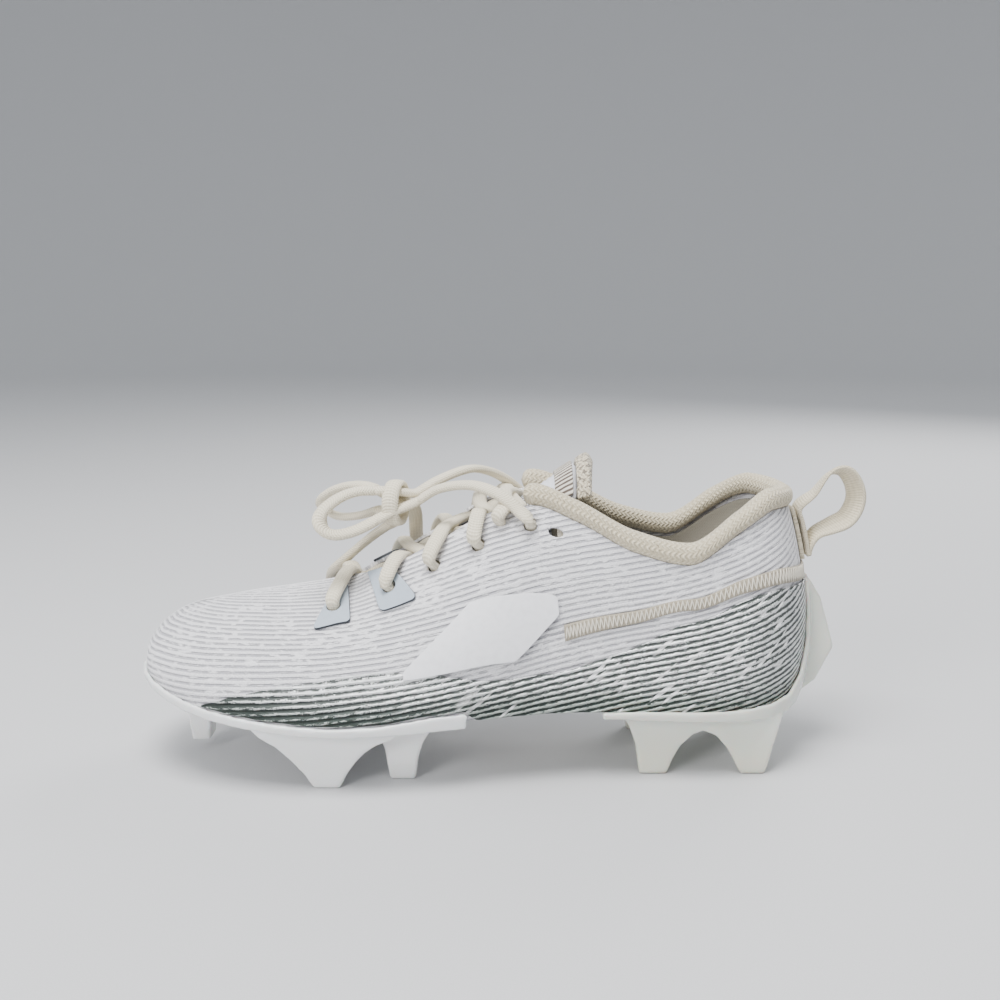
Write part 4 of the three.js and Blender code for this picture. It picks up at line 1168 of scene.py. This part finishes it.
def join_into(whole: bmesh.types.BMesh, part: bmesh.types.BMesh) -> None:
    """Adds one mesh to another and frees it."""
    mesh = bpy.data.meshes.new("part")
    part.to_mesh(mesh)
    part.free()
    whole.from_mesh(mesh)
    bpy.data.meshes.remove(mesh)


# ---------------------------------------------------------------- tongue

TONGUE_X = Track([-76, -63, -50, -26, -3, 14, 27, 38])
TONGUE_Z = Track([64, 69, 78.3, 92, 105.5, 117, 126, 133])
TONGUE_HALF = Track([13, 15, 18, 20, 20, 17.5, 16, 17])
TONGUE_DROP = Track([0.024, 0.024, 0.024, 0.026, 0.03, 0.036, 0.044, 0.05])


def tongue_point(u: Array, v: Array, d: Array) -> Array:
    """Points of the tongue: u along it, v across from -1 to 1, d out from its face."""
    u, v, d = np.broadcast_arrays(np.asarray(u, float), np.asarray(v, float), np.asarray(d, float))
    y = v * TONGUE_HALF(u)
    a, b = u - 0.02, u + 0.02
    along = unit(stack(TONGUE_X(b) - TONGUE_X(a), 0 * u, TONGUE_Z(b) - TONGUE_Z(a)))
    n = unit(stack(-along[..., 2], 2 * TONGUE_DROP(u) * y, along[..., 0]))
    middle = stack(TONGUE_X(u), BOOT.mid_y + y, TONGUE_Z(u) - TONGUE_DROP(u) * y * y)
    return middle + n * d[..., None]


def tongue_top(x: float, y: float, d: float) -> Array:
    """The point over the tongue's middle line at x, y."""
    us = np.arange(0, 6.92, 0.02)
    u = us[np.searchsorted(TONGUE_X(us), x)]
    return tongue_point(u, (y - BOOT.mid_y) / TONGUE_HALF(u), d)


def tongue_shell(us: Array, reach: float, low: Callable, high: Callable) -> bmesh.types.BMesh:
    """A closed pad along the tongue.

    Args:
        us: its stations along the tongue.
        reach: half width as a share of the tongue's.
        low: offset of its underside for a station.
        high: offset of its face for a station.

    Returns:
        The mesh, closed at both ends.
    """
    angle = np.linspace(0, 2 * np.pi, 73)
    c, s = squared(np.cos(angle), 0.75), squared(np.sin(angle), 0.45)
    u = us[:, None]
    taper = dome(np.minimum(us - us[0], us[-1] - us) / 0.06)[:, None]
    mid, half = (high(u) + low(u)) / 2, (high(u) - low(u)) / 2
    points = tongue_point(u, c * reach * (0.97 + 0.03 * taper), mid + half * s * taper)
    across = np.broadcast_to(c * 20, points.shape[:2])
    bm = mapped_grid(points, None, across)
    bmesh.ops.recalc_face_normals(bm, faces=bm.faces)
    return bm


@dataclass
class Tongue:
    """The tongue, its ribbed band and its bound edge."""

    thick: float = 4.5
    band: tuple = (5.7, 6.34)
    film_from: float = 4.9

    def build(self, finishes: Finishes) -> None:
        """Makes the three pieces."""
        us = np.linspace(0.05, 6.38, 150)
        bm = tongue_shell(us, 1.0, level(-self.thick), lambda u: -0.12 + 0.12 * np.cos(u * 40))
        body = make("tongue_pad", bm, finishes.tongue_rib, finishes.tongue)
        edge = (float(TONGUE_X(self.film_from)) + SHIFT[0]) * MM
        for face in body.data.polygons:
            face.material_index = 1 if face.center.x > edge else 0
        settle(body, Body.TONGUE, "tongue", "tongue_body")
        bm = tongue_shell(np.linspace(*self.band, 60), 0.965, level(GAP), level(GAP + 1))
        settle(make("tongue_rib_band", bm, finishes.band), Body.TONGUE, "band", "tongue_band")

        def bulge(u: Array) -> Array:
            """How far the bound edge swells."""
            return 1.6 * np.sqrt(np.clip(1 - ((u - 6.7) / 0.3) ** 2, 0, 1))

        us = np.linspace(6.43, 6.97, 40)
        bm = tongue_shell(us, 1.04, lambda u: -3.7 - bulge(u), lambda u: bulge(u) - 0.4)
        settle(make("tongue_bound_edge", bm, finishes.binding), Body.TONGUE, "cream_knit", "tongue_binding")


# ---------------------------------------------------------------- upper

def eyelet_bores(pairs: Sequence[tuple], flat: float) -> list[Matrix]:
    """The eyelets' frames on both sides, each with its axis along local z."""
    bores = []
    for k, w in pairs:
        for side in Side:
            t = np.array(side.value * k / BOOT.last)
            n = Vector(BOOT.away(t, np.array(w)))
            turn = Vector((0, 0, 1)).rotation_difference(n).to_matrix().to_4x4()
            twist = Matrix.Rotation(math.radians(20 * side.value), 4, "Z")
            turn = turn @ twist @ Matrix.Diagonal((1, flat, 1, 1))
            bores.append(Matrix.Translation(Vector((spot(k, w, side, 0.0) + SHIFT) * MM)) @ turn)
    return bores


def cutters(bores: Sequence[Matrix], radius: float) -> bpy.types.Object:
    """One object that holds a drill in each bore."""
    whole = bmesh.new()
    for bore in bores:
        bmesh.ops.create_cone(whole, cap_ends=True, segments=32, radius1=radius * MM, radius2=radius * MM,
                              depth=DRILL_DEPTH, matrix=bore)
    return make("drill", whole)


def drop_drill_ends(obj: bpy.types.Object, bores: Sequence[Matrix], radius: float) -> None:
    """Removes what a cut through a ribbed sheet can leave of a drill: its end cap and the wall on it.

    Args:
        obj: The sheet after its cut.
        bores: The drills' frames, with the axis along local z.
        radius: The drills' radius in millimetres.
    """
    bm = bmesh.new()
    bm.from_mesh(obj.data)
    points = np.array([(*vert.co, 1.0) for vert in bm.verts])
    ends = np.zeros(len(points), dtype=bool)
    for bore in bores:
        local = points @ np.array(bore.inverted()).T
        at_end = np.abs(np.abs(local[:, 2]) - DRILL_DEPTH / 2) < 1e-5
        ends |= at_end & (np.hypot(local[:, 0], local[:, 1]) < radius * MM * 1.01)
    left = [face for face in bm.faces if any(ends[vert.index] for vert in face.verts)]
    bmesh.ops.delete(bm, geom=left, context="FACES")
    bm.to_mesh(obj.data)
    bm.free()


def drill(obj: bpy.types.Object, pairs: Sequence[tuple], radius: float = 3.0, flat: float = 1.0) -> None:
    """Cuts eyelet holes through a finished sheet. flat below 1 makes the holes oblong."""
    bores = eyelet_bores(pairs, flat)
    tool = cutters(bores, radius)
    cut = obj.modifiers.new("eyelets", "BOOLEAN")
    cut.operation, cut.object, cut.solver = "DIFFERENCE", tool, "EXACT"
    bake(obj)
    drop_drill_ends(obj, bores, radius)
    smooth_shade(obj)
    bpy.data.objects.remove(tool)


@dataclass
class Upper:
    """The ribbed knit, the films, the tabs and the zigzag seam."""

    rib: float = 0.3
    film_rib: float = 0.22
    tabs: dict = field(default_factory=lambda: {
        "front": ((4.6, 0.55), (5.36, 0.6), (5.19, 0.86), (4.94, 0.87)),
        "rear": ((6.03, 0.667), (6.66, 0.68), (6.16, 0.985), (5.68, 0.98)),
    })

    def knit(self, finishes: Finishes) -> None:
        """The three knit pieces."""
        bottom, top = level(0), level(1)
        vamp = make("vamp_knit", patch(-SEAM_K, SEAM_K, bottom, top, 190, 168, 0.0, rib=self.rib),
                    finishes.knit)
        thicken(vamp, KNIT - self.rib, round_by=0.5)
        drill(vamp, EYELETS)
        settle(vamp, Body.BOOT, "knit", "knit_vamp")
        reach = BOOT.last - SEAM_K
        heel = make("heel_knit", patch(-reach, reach, bottom, SEAM, 130, 96, 0.0, heel=True, rib=self.rib),
                    finishes.knit)
        thicken(heel, KNIT - self.rib)
        bake(heel)
        settle(heel, Body.BOOT, "knit", "knit_heel")
        quarter = make("quarter_knit", patch(-reach, reach, SEAM, top, 130, 84, 0.0, heel=True, rib=self.rib),
                       finishes.knit)
        thicken(quarter, KNIT - self.rib)
        drill(quarter, [SPARE], 3.2, 0.6)
        settle(quarter, Body.BOOT, "knit", "knit_quarter")

    def films(self, finishes: Finishes) -> None:
        """The metallised bands, the plain side panels and the lace tabs, on both sides."""
        for side, word in ((Side.OUTER, "outer"), (Side.INNER, "inner")):
            a, b = sorted((side.value * 2.9, side.value * 15.9))

            def low(k: Array) -> Array:
                """Lower edge of the metallised band, which runs under between the plates."""
                bare = np.interp(k, [7.5, 7.7], [0, 1])
                return (FORE_LIP(np.minimum(8, k)) + 0.008) * (1 - bare) + 0.005 * bare

            def high(k: Array) -> Array:
                """Upper edge of the metallised band, which starts in a point."""
                top = np.maximum(FOIL_TOP(k), 0.11)
                open_by = np.clip((k - 2.9) / 0.45, 0.02, 1) ** 0.6
                return low(k) * (1 - open_by) + top * open_by

            film = patch(a, b, low, high, 220, 76, GAP + FILM, rib=self.film_rib)
            band = make(f"silver_band_{word}", film, finishes.foil)
            thicken(band, 0.45)
            bake(band)
            settle(band, Body.BOOT, "foil", f"foil_band_{word}")
            self.panel(side, word, finishes)
            for i, (name, corners) in enumerate(self.tabs.items()):
                tab = make(f"lace_tab_{name}_{word}_film", corner_patch(corners, side, 30, GAP + TAB),
                           finishes.tab, finishes.tab_edge)
                thicken(tab, TAB, rim=1, round_by=0.18)
                drill(tab, [EYELETS[i]])
                settle(tab, Body.BOOT, "tab", f"lace_tab_{name}_{word}")

    def panel(self, side: Side, word: str, finishes: Finishes) -> None:
        """One plain side panel with rounded corners."""
        ends = (6.5, 9.3)
        a, b = sorted(side.value * k for k in ends)

        def reach(k: Array) -> Array:
            """How much of the height is left near the ends, for rounded corners."""
            return 0.5 - 0.1 * (1 - dome(np.minimum(k - ends[0], ends[1] - k) / 0.2))

        def edge(k: Array, sign: float) -> Array:
            """An edge of the panel."""
            low, high = 0.27 + 0.2 * np.maximum(0, k - 8.3), 0.56 - 0.24 * np.maximum(0, 7.5 - k)
            return (low + high) / 2 + sign * (high - low) * reach(k)

        film = patch(a, b, lambda k: edge(k, -1), lambda k: edge(k, 1), 60, 40, 2 * (GAP + FILM))
        panel = make(f"side_panel_{word}_film", film, finishes.panel, finishes.panel_edge)
        thicken(panel, FILM, rim=1, round_by=0.2)
        bake(panel)
        settle(panel, Body.BOOT, "film", f"side_panel_{word}")

    def seam(self, finishes: Finishes) -> None:
        """The stretch tape with its zigzag thread, round the heel."""
        reach = BOOT.last - SEAM_K - 0.4
        half, thick, count = 0.038, 0.35, 300
        band = patch(-reach, reach, lambda k: SEAM(k) - half, lambda k: SEAM(k) + half, 130, 6, GAP + thick,
                     heel=True)
        tape = make("seam_band", band, finishes.tape)
        thicken(tape, thick)
        bake(tape)
        t = from_heel(np.linspace(-reach + 0.03, reach - 0.03, count))
        swing = np.where(np.arange(count) % 2 == 0, -1.0, 1.0)
        points = BOOT.at(t, SEAM(BOOT.station(t)) + 0.032 * swing, 0 * t + GAP + 0.62)
        fine = np.linspace(0, count - 1, (count - 1) * 4 + 1)
        path = np.stack([np.interp(fine, np.arange(count), points[:, i]) for i in range(3)], axis=1)
        thread = make("seam_zigzag", strap(path, 0.6, 0.5, 6), finishes.thread)
        settle(thread, Body.BOOT, "thread", "seam_tape")
        settle(tape, Body.BOOT, "thread")

    def build(self, finishes: Finishes) -> None:
        """Makes the whole upper."""
        self.knit(finishes)
        self.films(finishes)
        self.seam(finishes)


# ---------------------------------------------------------------- collar and pull loop


@dataclass
class Collar:
    """The padded roll, the lining, the heel webbing and the pull loop."""

    half_wide: float = 4.4
    half_high: float = 4.6
    start: float = SEAM_K - 0.25

    def roll(self, finishes: Finishes) -> None:
        """The padded roll: a crowned section drawn in along its lower seams."""
        reach = BOOT.last - self.start
        t = from_heel(np.linspace(-reach, reach, 261))
        out, up = BOOT.outward(t), np.array([0, 0, 1.0])
        centre = BOOT.top_edge(t) + np.array([0, 0, 4.1]) + out * (-2.7)
        angle = np.linspace(0, 2 * np.pi, 49)
        c, q = np.cos(angle), np.sin(angle)
        run = lengths(centre[:, None], 0)[:, 0]
        taper = dome(np.minimum(run, run[-1] - run) / 4.0)
        pucker = 0.18 * np.sin(run * 1.9 + 0.8 * np.sin(run * 0.31))[:, None] * np.clip(-q, 0, 1) ** 2
        wide = self.half_wide * (1 - 0.16 * np.clip(-q, 0, 1) ** 2) + pucker
        points = centre[:, None] + out[:, None] * (c * wide * taper[:, None])[..., None]
        points = points + up * (squared(q, 0.85) * self.half_high * taper[:, None])[..., None]
        bm = mapped_grid(points, run)
        bmesh.ops.recalc_face_normals(bm, faces=bm.faces)
        obj = settle(make("collar_pad", bm, finishes.collar), Body.BOOT, "cream_knit", "collar_roll")

    def lining(self, finishes: Finishes) -> None:
        """The lining of heel and collar."""
        reach = BOOT.last - SEAM_K - 0.5
        cloth = patch(-reach, reach, level(0.16), level(0.965), 120, 40, -KNIT - GAP, heel=True)
        obj = make("collar_lining_cloth", cloth, finishes.lining)
        thicken(obj, LINING)
        bake(obj)
        settle(obj, Body.BOOT, "lining", "collar_lining")

    def webbing(self, finishes: Finishes) -> None:
        """The webbing sewn up the heel."""
        strip = patch(-0.43, 0.43, level(0.68), level(0.97), 20, 50, GAP + WEB_THICK, heel=True)
        obj = make("heel_strip", strip, finishes.webbing)
        thicken(obj, WEB_THICK, round_by=0.4)
        bake(obj)
        settle(obj, Body.BOOT, "webbing", "heel_webbing")

    def pull(self, finishes: Finishes) -> None:
        """The pull loop: one ring of webbing, its root pinched and sewn."""
        root = spot(16, 0.92, Side.INNER, GAP * 2 + WEB_THICK)
        free = [(7.5, 9.5), (14.5, 18.5), (20, 19), (24.5, 13), (25.5, 6), (22, -1.5), (15.5, -5),
                (8.5, -8.5), (5.5, -14.5)]
        sewn = [spot(16, w, Side.INNER, GAP * 2 + WEB_THICK * 1.5 + 0.3)
                for w in (0.69, 0.75, 0.82, 0.89, 0.955)]
        ring = [*[(root[0] + x, BOOT.mid_y, root[2] + z) for x, z in free], *sewn]
        path = curve_through([*ring, ring[0]], 160)[:-1]
        for _ in range(4):
            path = (np.roll(path, 1, 0) + path * 2 + np.roll(path, -1, 0)) / 4
        ahead = unit(np.roll(path, -1, 0) - np.roll(path, 1, 0))
        lean = np.clip((path[:, 0] - root[0] - 4) / 14, 0, 1)[:, None]
        inward = unit(np.cross(ahead, [0, 1.0, 0]) + lean * [0, 0.42, 0])
        bm = strap(path, 12.0, WEB_THICK, 20, closed=True, square=0.35, hint=inward)
        settle(make("pull_loop_webbing", bm, finishes.webbing), Body.PULL, "webbing", "pull_tab")

    def build(self, finishes: Finishes) -> None:
        """Makes the collar's pieces."""
        self.roll(finishes)
        self.lining(finishes)
        self.webbing(finishes)
        self.pull(finishes)


# ---------------------------------------------------------------- sole


@dataclass
class Sole:
    """The studded plates, the board and the insole."""

    voxel: float = 0.75
    rounds: int = 14

    def plate(self, node: str, name: str, slot: str, finish: bpy.types.Material) -> None:
        """A plate with its studs blended into it: the node's own shape with every corner rounded."""
        source = bpy.data.objects[frame_object(node)]
        bm = bmesh.new()
        bm.from_mesh(source.data)
        bmesh.ops.remove_doubles(bm, verts=bm.verts, dist=1e-6)
        obj = make(name, bm, finish)
        remesh = obj.modifiers.new("blend", "REMESH")
        remesh.mode, remesh.voxel_size, remesh.use_smooth_shade = "VOXEL", self.voxel * MM, True
        ease = obj.modifiers.new("ease", "SMOOTH")
        ease.factor, ease.iterations = 0.5, self.rounds
        bake(obj)
        smooth_shade(obj)
        settle(obj, Body.BOOT, slot, node)

    def sheet(self, name: str, node: str, slot: str, inset: float, lift: float, thick: float, cup: float,
              finish: bpy.types.Material) -> None:
        """A foot-shaped sheet inside the boot.

        Args:
            name: the piece's name.
            node: the node it stands for.
            slot: its material slot; not used.
            inset: how far its rim is inside the feather line.
            lift: height of its underside above the sole.
            thick: its thickness.
            cup: how far its rim turns up.
            finish: its material.
        """
        k = np.linspace(0.05, 15.98, 120)
        left = BOOT.feather(-k / 16) - BOOT.outward(-k / 16) * inset
        right = BOOT.feather(k / 16) - BOOT.outward(k / 16) * inset
        v = np.linspace(0, 1, 33)[None, :, None]
        points = left[:, None] * (1 - v) + right[:, None] * v
        rim = (2 * v[..., 0] - 1) ** 6
        points[..., 2] += lift + thick + cup * rim
        bm = mapped_grid(points)
        bmesh.ops.reverse_faces(bm, faces=[f for f in bm.faces if f.normal.z < 0])
        obj = make(name, bm, finish)
        thicken(obj, thick, round_by=0.5)
        bake(obj)
        settle(obj, Body.BOOT, slot, node)

    def build(self, finishes: Finishes) -> None:
        """Makes the sole's pieces."""
        self.plate("forefoot_plate", "front_plate_moulding", "plate", finishes.plate)
        self.plate("heel_plate", "rear_plate_moulding", "heel_plate", finishes.heel)
        self.sheet("sole_board_cloth", "strobel_board", "board", KNIT + GAP + 0.5, 0.0, 1.8, 0.0,
                   finishes.board)
        self.sheet("insole_cloth_top", "insole", "foam", KNIT + LINING + 2 * GAP + 2.6, 1.8 + GAP, 3.6, 0.4,
                   finishes.foam)


def frame_object(node: str) -> str:
    """The name of a CAD node's object."""
    entry = frame["nodes"][node]
    return entry if isinstance(entry, str) else entry.name


def main() -> None:
    """Builds the boot round the frame, sub-assembly by sub-assembly."""
    logging.basicConfig(level=logging.INFO, format="%(message)s")
    studio = Studio()
    studio.camera()
    finishes = Finishes()
    for part in (Lace(), Tongue(), Upper(), Collar(), Sole()):
        LOG.info("building %s", type(part).__name__)
        part.build(finishes)
    studio.build()


if __name__ == "__main__":
    main()
